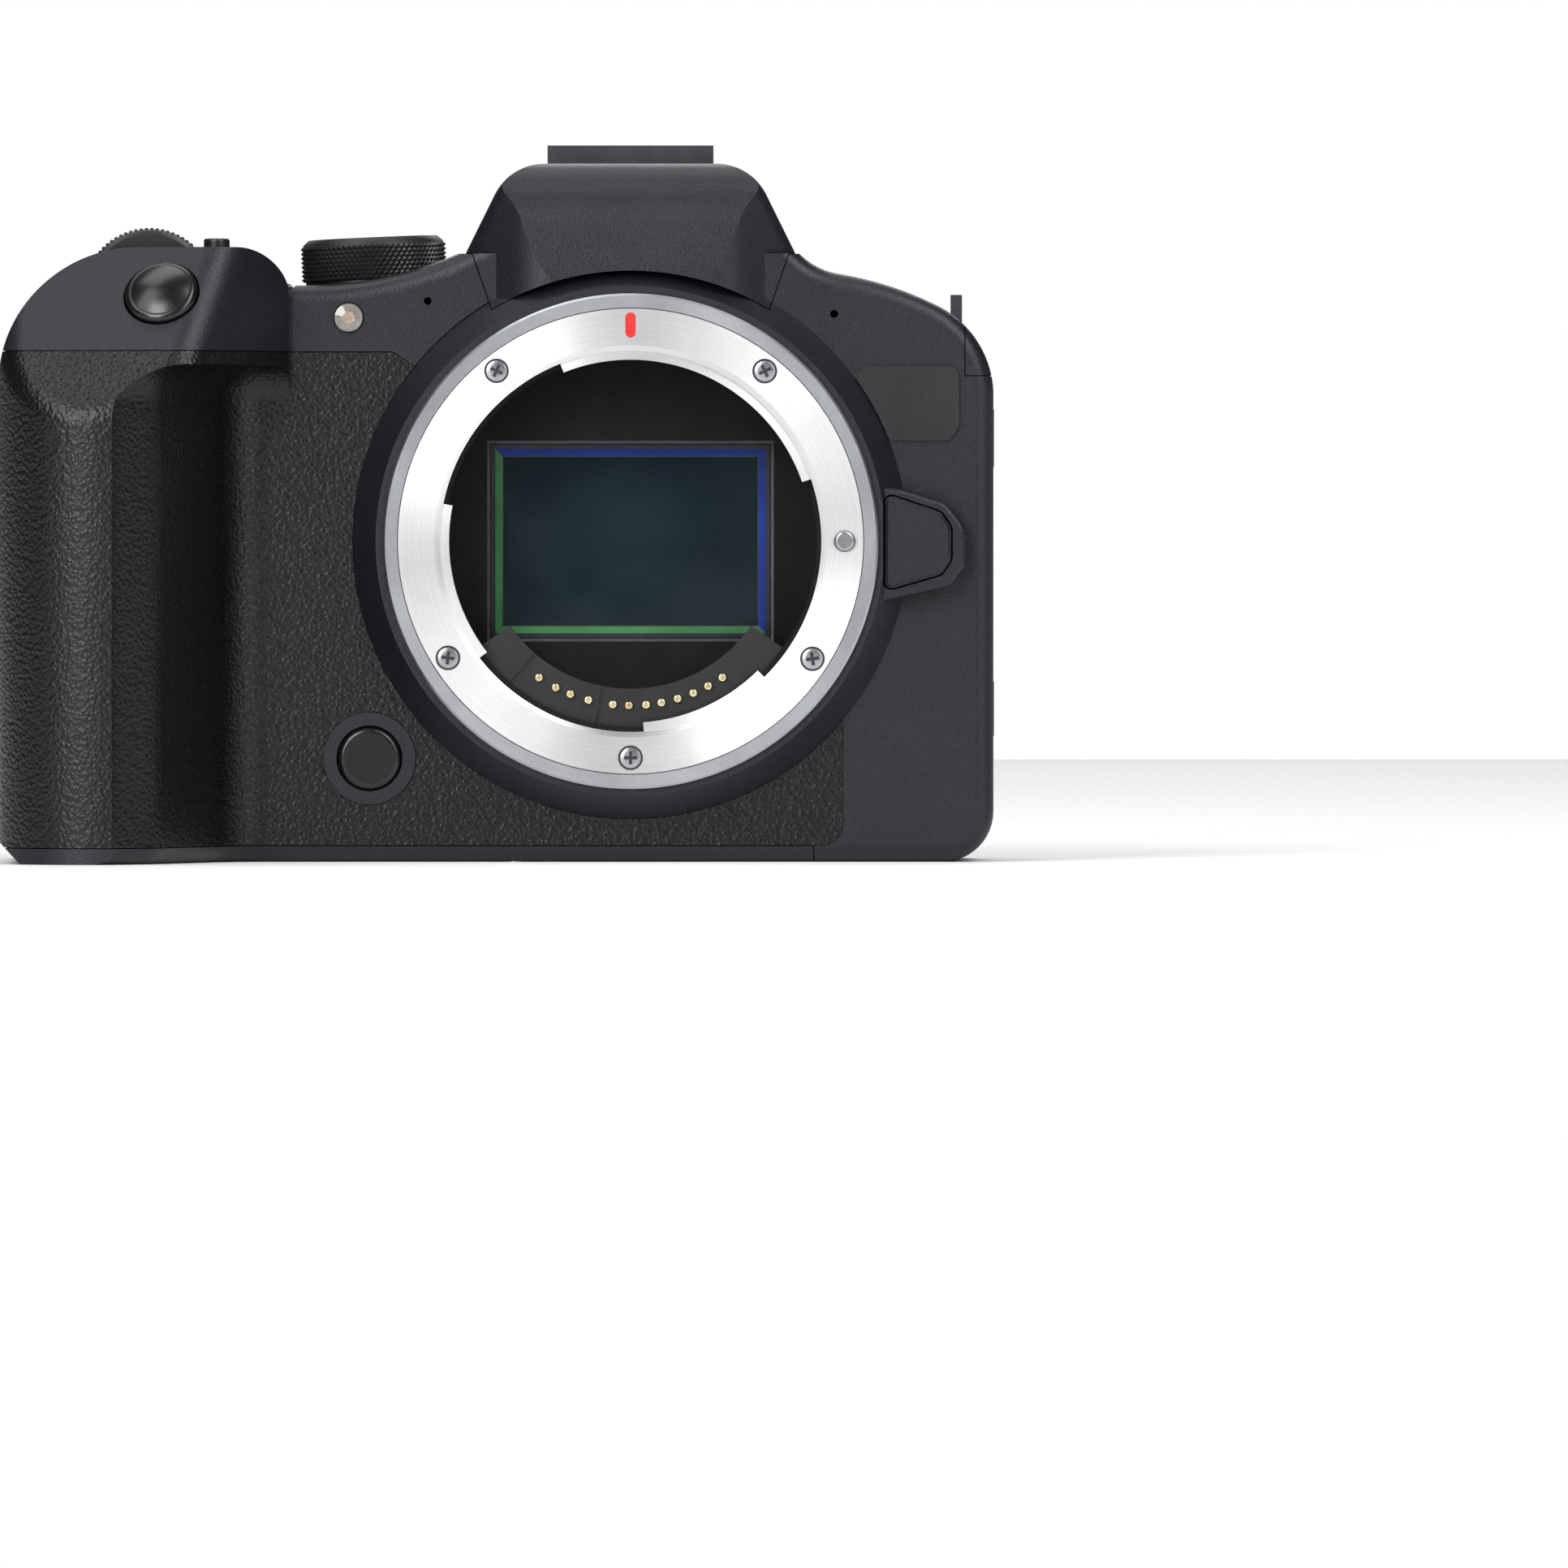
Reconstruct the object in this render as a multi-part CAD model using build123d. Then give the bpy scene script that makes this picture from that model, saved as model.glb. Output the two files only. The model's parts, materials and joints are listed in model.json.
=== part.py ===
from build123d import *
import os
from math import cos, radians, sin

# Mirrorless stills camera body without a lens. Millimetres, +Z up.
# The origin is the centre of the tripod socket in the base, straight below the lens axis.
# The lens side faces -Y and the hand grip is on the -X side.

# Casing
GRIP_X = -87.4            # outer face of the wall on the grip side
FAR_X = 50.5              # outer face of the wall on the connector side
FACE_Y = -12.5            # front face around the lens mount
REAR_Y = 24.0             # rear face
GRIP_FRONT_Y = -42.0      # foremost line of the hand grip
GRIP_REAR_Y = 3.0         # where the raised nose of the grip runs out into the deck
DECK_Z = 78.5             # flat deck behind the grip nose
NOSE_TOP_Z = 85.3         # top of the grip nose
HUMP_TOP_Z = 97.2         # top of the viewfinder hump
HUMP_FRONT_Y = -16.5
HOUSING_REAR_Y = 34.0     # rear of the viewfinder housing
THUMB_Y = 31.0            # rear of the thumb rest
WALL = 2.2
SKIN = 0.9                # thickness of the leatherette and of the thumb rubber
SEAM = 0.07               # half of the gap between two neighbouring covers
FRONT_EDGE = 2.5          # rounding of the casing's front edges
REAR_EDGE = 3.0
FLANK_EDGE = 3.0          # rounding of the crests of the hump and of the grip
NOSE_EDGE = 5.0           # rounding below and beside the slope that carries the shutter button
SPLIT_Y = 12.0            # plane between the front and the rear cover
BASE_SEAM_Z = 2.25        # top of the base plate's rim
GRIP_SEAM_Z = 70.9        # top edge of the leatherette
FAR_SEAM_Z = 67.6
REACH = 120.0             # longer than anything that has to be cut through

# Lens mount and imaging parts, on the lens axis
AXIS_Z = 44.6
FLANGE_Y = -18.0
SENSOR_Y = FLANGE_Y + 20.0
SEAT_Y = FLANGE_Y + 2.5   # floor that the mount ring is screwed to
COLLAR_TOP_R = 35.4
COLLAR_FOOT_R = 38.6
BROW_R = 37.5             # hollow of the hump above the mount
BORE_R = 27.4
MOUNT_OUTER_R = 32.3
MOUNT_INNER_R = 26.5
TAB_R = 25.2
BEZEL_R = 34.4
SCREW_CIRCLE_R = 30.07
SCREW_ANGLES = (51.7, 128.2, 212.6, 270.0, 327.1)
SCREW_HEAD_R = 1.65
TAB_SPANS = ((19.0, 111.6), (168.7, 217.7), (274.0, 314.5))
LOCK_PIN_X = 29.7
LOCK_PIN_R = 1.4
CONTACT_R = 22.85
CONTACT_ANGLES = (236.1, 242.9, 248.5, 255.1, 263.8, 269.4, 275.4, 280.8, 286.6, 292.4, 298.1, 303.9)
GATE_W = 40.0             # window in front of the sensor
GATE_H = 28.0
BLADE_H = 10.0
BLADE_YS = (-3.35, -2.5, -1.65)

# Controls
FIT = 0.25                # gap around a button or a knob
POCKET = 1.7              # depth of a button's pocket
HEAD = 0.9                # how far a button's head reaches into its pocket
RELEASE_TRAVEL = 2.0
SHUTTER_AT = (-64.8, -31.5, 78.8)
SHUTTER_NORMAL = (-0.16, -0.79, 0.59)
SHUTTER_R = 5.1
MAIN_DIAL_AT = (-66.8, -16.0, 78.9)
MAIN_DIAL_R = 9.2
MODE_DIAL_AT = (-35.7, 2.0, 80.2)
MODE_DIAL_R = 10.3
MODE_DIAL_TILT = -2.5
TOP_DIAL_AT = (-67.0, 12.0)
TOP_DIAL_R = 8.0
POWER_AT = (-52.3, 14.5)
POWER_R = 5.0
WHEEL_AT = (-55.0, 30.0)
WHEEL_R = 12.5
SET_R = 4.8
REAR_KEYS = {
    "af_on_button": (-38.0, 70.0, 3.5),
    "ae_lock_button": (-50.5, 70.5, 2.7),
    "af_point_button": (-61.0, 69.0, 2.7),
    "menu_button": (36.0, 66.5, 2.9),
    "playback_button": (-38.0, 12.0, 2.8),
    "erase_button": (-50.5, 10.0, 2.8),
}
JOYSTICK_AT = (-39.0, 57.0)
PREVIEW_AT = (-36.3, 14.4)
LAMP_AT = (-39.2, 75.7)

# Doors and screen
DOOR_PIN_R = 0.5
DOOR_EDGE = 1.25          # clear strip behind a door's hinge axis
CARD_AXIS = (-86.3, 18.6)
CARD_DOOR_Z = (12.0, 58.0)
CARD_DOOR_Y = 2.5
BATTERY_AXIS = (15.4, 1.1)
BATTERY_DOOR_X = (-83.6, -62.4)
BATTERY_DOOR_Y = -23.9
SCREEN_AXIS = (47.5, 22.0)
SCREEN_X = (-29.0, 44.0)
SCREEN_Z = (5.0, 59.0)
SCREEN_Y = (18.8, 25.2)
HINGE_Z = 32.0
TERMINAL_Y = (-6.0, 8.0)
TERMINAL_SPANS = {"terminal_cover_upper": (41.0, 65.0), "terminal_cover_lower": (13.0, 39.0)}
TERMINAL_LIPS = {"terminal_cover_upper": (55.0, 63.0), "terminal_cover_lower": (17.4, 25.0)}


# Small helpers

def along_x(face, x0, x1):
    return extrude(Plane.YZ.offset(x0) * face, x1 - x0)


def along_y(face, y0, y1):
    return extrude(Plane.XZ.offset(-y1) * face, y1 - y0)


def along_z(face, z0, z1):
    return extrude(Plane.XY.offset(z0) * face, z1 - z0)


def block(x, y, z):
    size = (x[1] - x[0], y[1] - y[0], z[1] - z[0])
    centre = (sum(x) / 2, sum(y) / 2, sum(z) / 2)
    return Pos(*centre) * Box(*size)


def rod_x(y, z, radius, x0, x1):
    return along_x(Pos(y, z) * Circle(radius), x0, x1)


def rod_y(x, z, radius, y0, y1):
    return along_y(Pos(x, z) * Circle(radius), y0, y1)


def rod_z(x, y, radius, z0, z1):
    return along_z(Pos(x, y) * Circle(radius), z0, z1)


def inset(face, distance):
    return offset(face, amount=-distance) if distance else face


def polygon(*points):
    return make_face(Polyline(*points, close=True))


def rounded(points, radii):
    face = polygon(*points)
    for point, radius in zip(points, radii):
        if radius:
            corner = face.vertices().sort_by_distance(Vector(*point))[0]
            face = fillet(corner, radius)
    return face


def rounded_panel(x, z, radius):
    return Pos(sum(x) / 2, sum(z) / 2) * RectangleRounded(x[1] - x[0], z[1] - z[0], radius)


def about_lens_axis(*points):
    # points are (distance from the lens axis, y)
    return Pos(0, 0, AXIS_Z) * revolve(polygon(*points), Axis.Y)


def lens_polar(radius, angle):
    return radius * cos(radians(angle)), AXIS_Z + radius * sin(radians(angle))


def sector(inner, outer, start, end, y0, y1):
    # piece of a ring about the lens axis, angles counted from +X towards +Z
    middle = (start + end) / 2
    arc_out = ThreePointArc(*[lens_polar(outer, angle) for angle in (start, middle, end)])
    arc_in = ThreePointArc(*[lens_polar(inner, angle) for angle in (end, middle, start)])
    sides = [Line(arc_out @ 1, arc_in @ 0), Line(arc_in @ 1, arc_out @ 0)]
    return along_y(make_face(Wire([arc_out, sides[0], arc_in, sides[1]])), y0, y1)


def carve(solid, cuts):
    for cut in cuts:
        solid = solid - cut
    return solid


# Casing volumes. Each takes the distance that it lies inside the outer surface.

def casing_outline():
    line = ThreePointArc((-46.5, 80.2), (-36, 81.0), (-24, 84.6))
    line += Line((-24, 84.6), (23.5, 84.6))
    foot_of_hump = ThreePointArc((23.5, 84.6), (25.6, 83.0), (29, 81.8))
    slope = TangentArc((29, 81.8), (42.7, 77.4), tangent=foot_of_hump % 1)
    drop = TangentArc((42.7, 77.4), (FAR_X, 64), tangent=slope % 1)
    line += [foot_of_hump, slope, drop]
    line += Line((FAR_X, 64), (FAR_X, 7))
    line += RadiusArc((FAR_X, 7), (FAR_X - 7, 0), 7)
    line += Polyline((FAR_X - 7, 0), (GRIP_X + 3.2, 0), (GRIP_X, 3.2), (GRIP_X, 61.5))
    line += RadiusArc((GRIP_X, 61.5), (GRIP_X + 17, DECK_Z), 17)
    line += Polyline((GRIP_X + 17, DECK_Z), (-48.5, DECK_Z), (-46.5, 80.2))
    return make_face(line)


def body_block(depth):
    # the rear edges on the connector side and along the foot are rounded
    plan = rounded([(-REACH, -REACH), (FAR_X, -REACH), (FAR_X, REAR_Y), (-REACH, REAR_Y)], [0, 0, REAR_EDGE, 0])
    side = rounded([(-REACH, 0), (REAR_Y, 0), (REAR_Y, REACH), (-REACH, REACH)], [0, REAR_EDGE, 0, 0])
    solid = along_y(inset(casing_outline(), depth), FACE_Y + depth, REAR_Y)
    solid &= along_z(inset(plan, depth), -1, REACH)
    return solid & along_x(inset(side, depth), -REACH, REACH)


def grip_outline():
    line = Polyline((GRIP_X + 3.2, 0), (-47.5, 0), (-47.5, NOSE_TOP_Z - 7))
    line += RadiusArc((-47.5, NOSE_TOP_Z - 7), (-54.5, NOSE_TOP_Z), -7)
    line += Line((-54.5, NOSE_TOP_Z), (-68.2, NOSE_TOP_Z))
    line += RadiusArc((-68.2, NOSE_TOP_Z), (GRIP_X, 66.1), -19.2)
    line += Polyline((GRIP_X, 66.1), (GRIP_X, 3.2), (GRIP_X + 3.2, 0))
    return make_face(line)


def grip_plan():
    corners = [(-47.5, -14), (-47.5, 10), (GRIP_X, 10), (GRIP_X, GRIP_FRONT_Y), (-61.2, GRIP_FRONT_Y)]
    return rounded(corners, [0, 0, 0, 14.5, 9.5])


def grip_top_profile():
    return polygon((10, -10), (10, 75.1), (GRIP_REAR_Y, 78.2), (-13, NOSE_TOP_Z), (-60, NOSE_TOP_Z), (-60, -10))


def finger_channel(depth):
    corners = [(-40, FACE_Y), (-55, FACE_Y), (-65.5, -36.5), (-72, -42), (-72, -50), (-40, -50)]
    plan = inset(rounded(corners, [0, 7, 8, 5, 0, 0]), -depth)
    solid = along_z(plan, -10, 69 + depth)
    top = solid.faces().sort_by(Axis.Z)[-1]
    flank = [edge for edge in top.edges() if edge.center().X < -42 - depth and edge.center().Y > -49]
    return fillet(flank, 5 + depth)


def shutter_plane():
    return Plane(origin=SHUTTER_AT, x_dir=(1, -0.2, 0), z_dir=SHUTTER_NORMAL)


def grip_block(depth):
    solid = along_y(inset(grip_outline(), depth), GRIP_FRONT_Y + depth, 5)
    solid &= along_z(inset(grip_plan(), depth), 0, REACH)
    solid &= along_x(inset(grip_top_profile(), depth), -REACH, 0)
    plane = shutter_plane().offset(-depth)
    solid -= plane * Pos(0, 0, REACH / 2) * Box(REACH, REACH, REACH)
    if depth < WALL:
        slope = [face for face in solid.faces() if abs(face.normal_at().dot(plane.z_dir)) > 0.999][0]
        lower_edges = [edge for edge in slope.edges() if edge.center().Z < 80 - depth]
        solid = fillet(lower_edges, NOSE_EDGE - depth)
    return solid - finger_channel(depth)


def hump_block(depth):
    front = rounded([(-27, 60), (-24, 82.6), (-16.7, HUMP_TOP_Z), (16.7, HUMP_TOP_Z), (24, 82.6), (27, 60)],
                    [0, 0, 8, 8, 0, 0])
    side = rounded([(HUMP_FRONT_Y, 60), (HUMP_FRONT_Y, 81.5), (-14.8, 91.5), (-9.5, HUMP_TOP_Z),
                    (REAR_Y, HUMP_TOP_Z), (REAR_Y, 60)], [0, 20, 9, 7, 5, 0])
    plan = rounded([(-13.6, HUMP_FRONT_Y), (13.6, HUMP_FRONT_Y), (24.4, -8), (27, REAR_Y), (-27, REAR_Y),
                    (-24.4, -8)], [9, 9, 6, 3, 3, 6])
    solid = along_y(inset(front, depth), -20, REAR_Y)
    solid &= along_x(inset(side, depth), -30, 30)
    solid &= along_z(inset(plan, depth), 60, 100)
    if not depth:
        flanks = [edge for edge in solid.edges() if 88 < edge.center().Z < 91 and edge.center().Y < -8]
        solid = fillet([edge for edge in flanks if abs(edge.center().X) > 20], FLANK_EDGE)
    return solid - rod_y(0, AXIS_Z, BROW_R + depth, -30, FACE_Y + depth)


def housing_block(depth):
    outline = rounded_panel((-18.8 + depth, 18.8 - depth), (62.7 + depth, 89.8 - depth), 6 - depth)
    return along_y(outline, 18, HOUSING_REAR_Y - depth)


def thumb_block(depth):
    plan = rounded([(-85.6, 15), (-85.6, 27.2), (-82, THUMB_Y), (-77, THUMB_Y), (-69.5, REAR_Y), (-69.5, 15)],
                   [0, 4, 3, 3, 0, 0])
    side = rounded([(15, 20), (REAR_Y, 21), (THUMB_Y, 33), (THUMB_Y, 58), (REAR_Y, 67), (15, 68)],
                   [0, 0, 5, 5, 0, 0])
    return along_z(inset(plan, depth), 10, 75) & along_x(inset(side, depth), -90, -60)


def is_free_edge(edge):
    # an edge of the front face that neither the grip nor the hump grows out of
    centre = edge.center()
    right_side = centre.X > 44 or (centre.X > 24 and centre.Z > 60)
    left_top = -46.6 < centre.X < -24 and centre.Z > 79
    foot = centre.Z < 1 and centre.X > -50
    in_face = edge.bounding_box().size.Y < 0.001 and abs(centre.Y - FACE_Y) < 0.001
    return in_face and (right_side or left_top or foot)


def casing(depth):
    solid = body_block(depth) + grip_block(depth)
    solid = solid + hump_block(depth)
    solid = solid + housing_block(depth)
    solid = solid + thumb_block(depth)
    if depth:
        return solid
    front = [edge for edge in solid.edges() if is_free_edge(edge)]
    return fillet(front, FRONT_EDGE)


# Places of controls that sit in a flat surface

def on_rear(x, z):
    return Plane(origin=(x, REAR_Y, z), x_dir=(1, 0, 0), z_dir=(0, 1, 0))


def on_deck(x, y, z=DECK_Z):
    return Plane(origin=(x, y, z), x_dir=(1, 0, 0), z_dir=(0, 0, 1))


def peg(plane, radius, low, high):
    return extrude(plane.offset(low) * Circle(radius), high - low)


def key(plane, radius, proud, crown):
    head = peg(plane, radius, -HEAD, proud)
    top = head.faces().sort_by(Axis(plane.origin, plane.z_dir))[-1]
    return fillet(top.edges(), crown)


def key_pocket(plane, radius):
    return peg(plane, radius + FIT, -POCKET, 10)


MOVIE_KEY = (on_deck(-53.5, 3.5), 2.6)
FUNCTION_KEY = (on_deck(-57.4, -19.0, NOSE_TOP_Z), 1.8)
MODE_PLANE = Plane(Location(MODE_DIAL_AT, (0, MODE_DIAL_TILT, 0)))


def release_outline():
    corners = [(35.3, 38.1), (36.6, 38.1), (43.1, 40.0), (44.5, 42.0), (44.5, 46.6), (43.1, 48.6), (36.6, 50.8),
               (35.3, 50.8)]
    return rounded(corners, [0.9, 1, 1.5, 2, 2, 1.5, 1, 0.9])


def guard_block():
    corners = [(30, 38), (34.9, 36.1), (44.3, 38.2), (46.4, 41.2), (46.5, 46.6), (43.9, 49.9), (37.5, 51.9),
               (34.6, 52.2), (30, 50)]
    solid = along_y(rounded(corners, [0, 2, 2, 2, 3, 3, 3, 1, 0]), -16.3, FACE_Y + WALL)
    front = solid.faces().sort_by(Axis.Y)[0]
    return fillet(front.edges(), 0.8)


def collar_block():
    return about_lens_axis((BORE_R, -17.0), (COLLAR_TOP_R, -17.0), (COLLAR_FOOT_R, FACE_Y), (COLLAR_FOOT_R, -10),
                           (BORE_R, -10))


def inner_bosses(outer):
    shutter = peg(shutter_plane(), 7.4, -4.6, -1) & block((-REACH, 0), (-REACH, 0), (GRIP_SEAM_Z + 0.2, REACH))
    preview = rod_y(*PREVIEW_AT, 6.4, FACE_Y + 0.5, FACE_Y + WALL + 1.4)
    tray = block((-32, FAR_X), (16.2, REAR_Y), (0, 62))
    x, y, z = MAIN_DIAL_AT
    front_rib = block((x - 5, x + 5), (y - 5.0, y - 3.8), (z - 4, NOSE_TOP_Z))
    rear_rib = block((x - 5, x + 5), (y + 3.8, y + 5.0), (z - 4, NOSE_TOP_Z))
    return outer & (shutter + preview + tray + front_rib + rear_rib)


def lens_side_cuts():
    cuts = [rod_y(0, AXIS_Z, BORE_R, -30, -8), rod_y(0, AXIS_Z, BEZEL_R + 0.05, -30, SEAT_Y)]
    cuts.append(rod_y(LOCK_PIN_X, AXIS_Z, LOCK_PIN_R + 0.1, -20, -8))
    for angle in SCREW_ANGLES:
        cuts.append(rod_y(*lens_polar(SCREW_CIRCLE_R, angle), 0.9, -20, -11.5))
    cuts.append(along_y(inset(release_outline(), -FIT), -30, -12.2))
    cuts.append(rod_y(40, AXIS_Z, 1.28, -13, -8))
    cuts.append(rod_y(*PREVIEW_AT, 4.35 + FIT, -30, FACE_Y + 2.4))
    cuts.append(rod_y(*PREVIEW_AT, 1.28, -13, -5))
    cuts.append(rod_y(*LAMP_AT, 2.15, -14, -9))
    for x, z in ((-28.2, 78.0), (28.3, 76.2)):
        cuts.append(rod_y(x, z, 0.55, -14, -9))
    return cuts


def deck_cuts():
    x, y, z = MAIN_DIAL_AT
    cuts = [peg(shutter_plane(), SHUTTER_R + FIT, -3.0, 10), peg(shutter_plane(), 1.28, -8, 1)]
    cuts.append(block((x - 9.7, x + 9.7), (y - 3.4, y + 3.4), (z - 4, REACH)))
    cuts.append(rod_y(x, z, 1.28, y - 6, y + 6))
    cuts.append(key_pocket(*FUNCTION_KEY))
    cuts.append(key_pocket(*MOVIE_KEY))
    cuts.append(peg(MODE_PLANE, MODE_DIAL_R + 0.4, 0, 20))
    cuts.append(peg(MODE_PLANE, 2.05, -5, 1))
    cuts.append(peg(on_deck(*TOP_DIAL_AT), TOP_DIAL_R + 0.4, -1.2, 20))
    cuts.append(peg(on_deck(*TOP_DIAL_AT), 1.55, -5, 1))
    cuts.append(peg(on_deck(*POWER_AT), POWER_R + 0.4, -1.0, 20))
    cuts.append(peg(on_deck(*POWER_AT), 1.55, -5, 1))
    cuts.append(block((-11.7, 11.7), (2.9, 30), (96.2, 110)))
    cuts.append(block((44.7, 46.4), (0.9, 9.1), (68, 90)))
    cuts.append(block((-84.7, -83.0), (7.9, 16.1), (60, 90)))
    return cuts


def rear_cuts():
    cuts = [key_pocket(on_rear(x, z), radius) for x, z, radius in REAR_KEYS.values()]
    cuts.append(peg(on_rear(*WHEEL_AT), WHEEL_R + 0.4, -1.5, 20))
    cuts.append(peg(on_rear(*JOYSTICK_AT), 5.2, -POCKET, 20))
    cuts.append(peg(on_rear(*JOYSTICK_AT), 2.0, -4, 1))
    recess = block((SCREEN_X[0] - 0.6, 45.6), (18.4, 40), (SCREEN_Z[0] - 0.6, SCREEN_Z[1] + 0.8))
    pocket = block((40, FAR_X + 5), (18.4, 40), (HINGE_Z - 10.3, HINGE_Z + 10.3))
    pins = rod_z(*SCREEN_AXIS, 1.08, HINGE_Z - 13, HINGE_Z + 13)
    cuts += [recess, pocket, pins]
    cuts.append(along_y(rounded_panel((-15.5, 15.5), (66, 86), 5), 25, 40))
    return cuts


def door_cuts():
    x, y = CARD_AXIS
    z0, z1 = CARD_DOOR_Z
    cuts = [block((GRIP_X - 2, GRIP_X + 6), (CARD_DOOR_Y, y + DOOR_EDGE), CARD_DOOR_Z)]
    cuts.append(rod_z(x, y, DOOR_PIN_R + 0.08, z0 - 1.6, z1 + 1.6))
    y, z = BATTERY_AXIS
    x0, x1 = BATTERY_DOOR_X
    cuts.append(block(BATTERY_DOOR_X, (BATTERY_DOOR_Y, y + DOOR_EDGE), (-2, 5)))
    cuts.append(rod_x(y, z, DOOR_PIN_R + 0.08, x0 - 1.4, x1 + 1.6))
    for span in TERMINAL_SPANS.values():
        cuts.append(block((FAR_X - 1.3, FAR_X + 3), TERMINAL_Y, span))
    for z in (49.0, 58.0):
        cuts.append(rod_x(1, z, 2.3, FAR_X - 6, FAR_X))
    for z in (20.0, 31.0):
        cuts.append(block((FAR_X - 6, FAR_X), (-1.3, 3.3), (z - 5, z + 5)))
    cuts.append(rod_z(0, 0, 6.05, -1, 5))
    return cuts


OUTER = casing(0)
CAVITY = casing(WALL)
SOLID = OUTER + collar_block() + guard_block() + rod_y(*PREVIEW_AT, 6.4, FACE_Y - 0.35, FACE_Y + 1)
HOLLOW = SOLID - CAVITY + inner_bosses(OUTER)
SHELL = carve(HOLLOW, lens_side_cuts() + deck_cuts() + rear_cuts() + door_cuts())


# Regions of the covers, seen from the front. A positive gap shrinks a region.

def zone(points, gap, y0=-REACH, y1=REACH):
    return along_y(inset(polygon(*points), gap), y0, y1)


def viewfinder_zone(gap):
    points = [(-30, 110), (-30, 85.6), (-22, 84.5), (-19.3, 76.8), (19.3, 76.8), (22, 84.5), (30, 85.6), (30, 110)]
    solid = zone(points, gap) - rod_y(0, AXIS_Z, BROW_R + gap, -30, 0)
    return solid + block((-19 + gap, 19 - gap), (REAR_Y + gap, 60), (62.5 + gap, 92))


def deck_zone(gap):
    points = [(-100, GRIP_SEAM_Z), (-33, GRIP_SEAM_Z), (-27, 66.8), (-19.3, 66.8), (-19.3, 76.8), (-22, 84.5),
              (-30, 85.6), (-30, 110), (-100, 110)]
    return zone(points, gap) - rod_y(0, AXIS_Z, COLLAR_FOOT_R + gap, -30, 0)


def shoulder_zone(gap):
    deck = [(19.3, 74), (19.3, 76.8), (22, 84.5), (30, 85.6), (30, 110), (100, 110), (100, 74)]
    corner = [(46.5, FAR_SEAM_Z), (46.5, 110), (100, 110), (100, FAR_SEAM_Z)]
    return zone(deck, gap, -9.5 + gap) + zone(corner, gap)


def base_zone(gap):
    return zone([(-100, -10), (-100, BASE_SEAM_Z), (25.5, BASE_SEAM_Z), (25.5, -10)], gap)


def leather_zone(gap):
    corners = [(-100, BASE_SEAM_Z), (-100, GRIP_SEAM_Z), (-33, GRIP_SEAM_Z), (-27, 66.8), (-10, 50), (20, 35),
               (26.4, 21.6), (29.6, 20), (29.6, BASE_SEAM_Z)]
    face = rounded(corners, [0, 0, 0, 0, 0, 0, 0, 1.5, 3])
    solid = along_y(inset(face, gap), -REACH, 0.5 - gap)
    solid -= rod_y(*PREVIEW_AT, 6.4 + gap, -30, 5)
    return solid - rod_y(0, AXIS_Z, COLLAR_FOOT_R + gap, -30, 5)


def thumb_zone(gap):
    return block((-95, -69.6 - gap), (REAR_Y + gap, 60), (10, 80))


# Covers and skins

OTHER_COVERS = [viewfinder_zone(-SEAM), deck_zone(-SEAM), shoulder_zone(-SEAM), base_zone(-SEAM)]
SKIN_LAYER = OUTER - casing(SKIN)
CUT_SHELL = carve(SHELL, [SKIN_LAYER & leather_zone(0), SKIN_LAYER & thumb_zone(0)])


def front_cover():
    half = CUT_SHELL & block((-REACH, REACH), (-REACH, SPLIT_Y - SEAM), (-10, REACH))
    return carve(half, OTHER_COVERS)


def rear_cover():
    half = CUT_SHELL & block((-REACH, REACH), (SPLIT_Y + SEAM, REACH), (-10, REACH))
    return carve(half, OTHER_COVERS)


def top_cover():
    return CUT_SHELL & deck_zone(SEAM)


def shoulder_cover():
    return CUT_SHELL & shoulder_zone(SEAM)


def viewfinder_cover():
    return CUT_SHELL & viewfinder_zone(SEAM)


def base_plate():
    return CUT_SHELL & base_zone(SEAM)


def grip_leather():
    return SKIN_LAYER & leather_zone(SEAM)


def thumb_rubber():
    return SKIN_LAYER & thumb_zone(SEAM)


def badge_plate():
    corners = [(30.2, 64.3), (30.2, 66.1), (32.6, 68.9), (45.7, 68.9), (45.7, 60.4), (44.3, 58.6), (34.2, 58.6)]
    radii = [1.0, 1.0, 1.5, 1.5, 2.0, 1.0, 1.5]
    plate = along_y(rounded(corners, radii), FACE_Y - 0.4, FACE_Y)
    return plate - rod_y(0, AXIS_Z, COLLAR_FOOT_R + 0.1, -20, 0)


# Lens mount and image path

def lens_mount_ring():
    ring = about_lens_axis((MOUNT_INNER_R, SEAT_Y), (MOUNT_OUTER_R, SEAT_Y), (MOUNT_OUTER_R, FLANGE_Y),
                           (MOUNT_INNER_R + 0.7, FLANGE_Y), (MOUNT_INNER_R, FLANGE_Y + 0.4))
    for start, end in TAB_SPANS:
        ring += sector(TAB_R, MOUNT_INNER_R + 0.2, start, end, FLANGE_Y + 0.6, SEAT_Y)
    for angle in SCREW_ANGLES:
        x, z = lens_polar(SCREW_CIRCLE_R, angle)
        ring -= rod_y(x, z, 0.95, -20, -10)
        ring -= rod_y(x, z, SCREW_HEAD_R + 0.08, -20, FLANGE_Y + 1.0)
    return ring - rod_y(LOCK_PIN_X, AXIS_Z, LOCK_PIN_R + 0.1, -20, -10)


def mount_screws():
    screws = []
    for angle in SCREW_ANGLES:
        x, z = lens_polar(SCREW_CIRCLE_R, angle)
        head = rod_y(x, z, SCREW_HEAD_R, FLANGE_Y + 0.05, FLANGE_Y + 1.0)
        cross = block((x - 1, x + 1), (-20, FLANGE_Y + 0.5), (z - 0.2, z + 0.2))
        cross += block((x - 0.2, x + 0.2), (-20, FLANGE_Y + 0.5), (z - 1, z + 1))
        screws.append(head - cross + rod_y(x, z, 0.85, FLANGE_Y + 1.0, -12.5))
    return Compound(screws)


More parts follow.
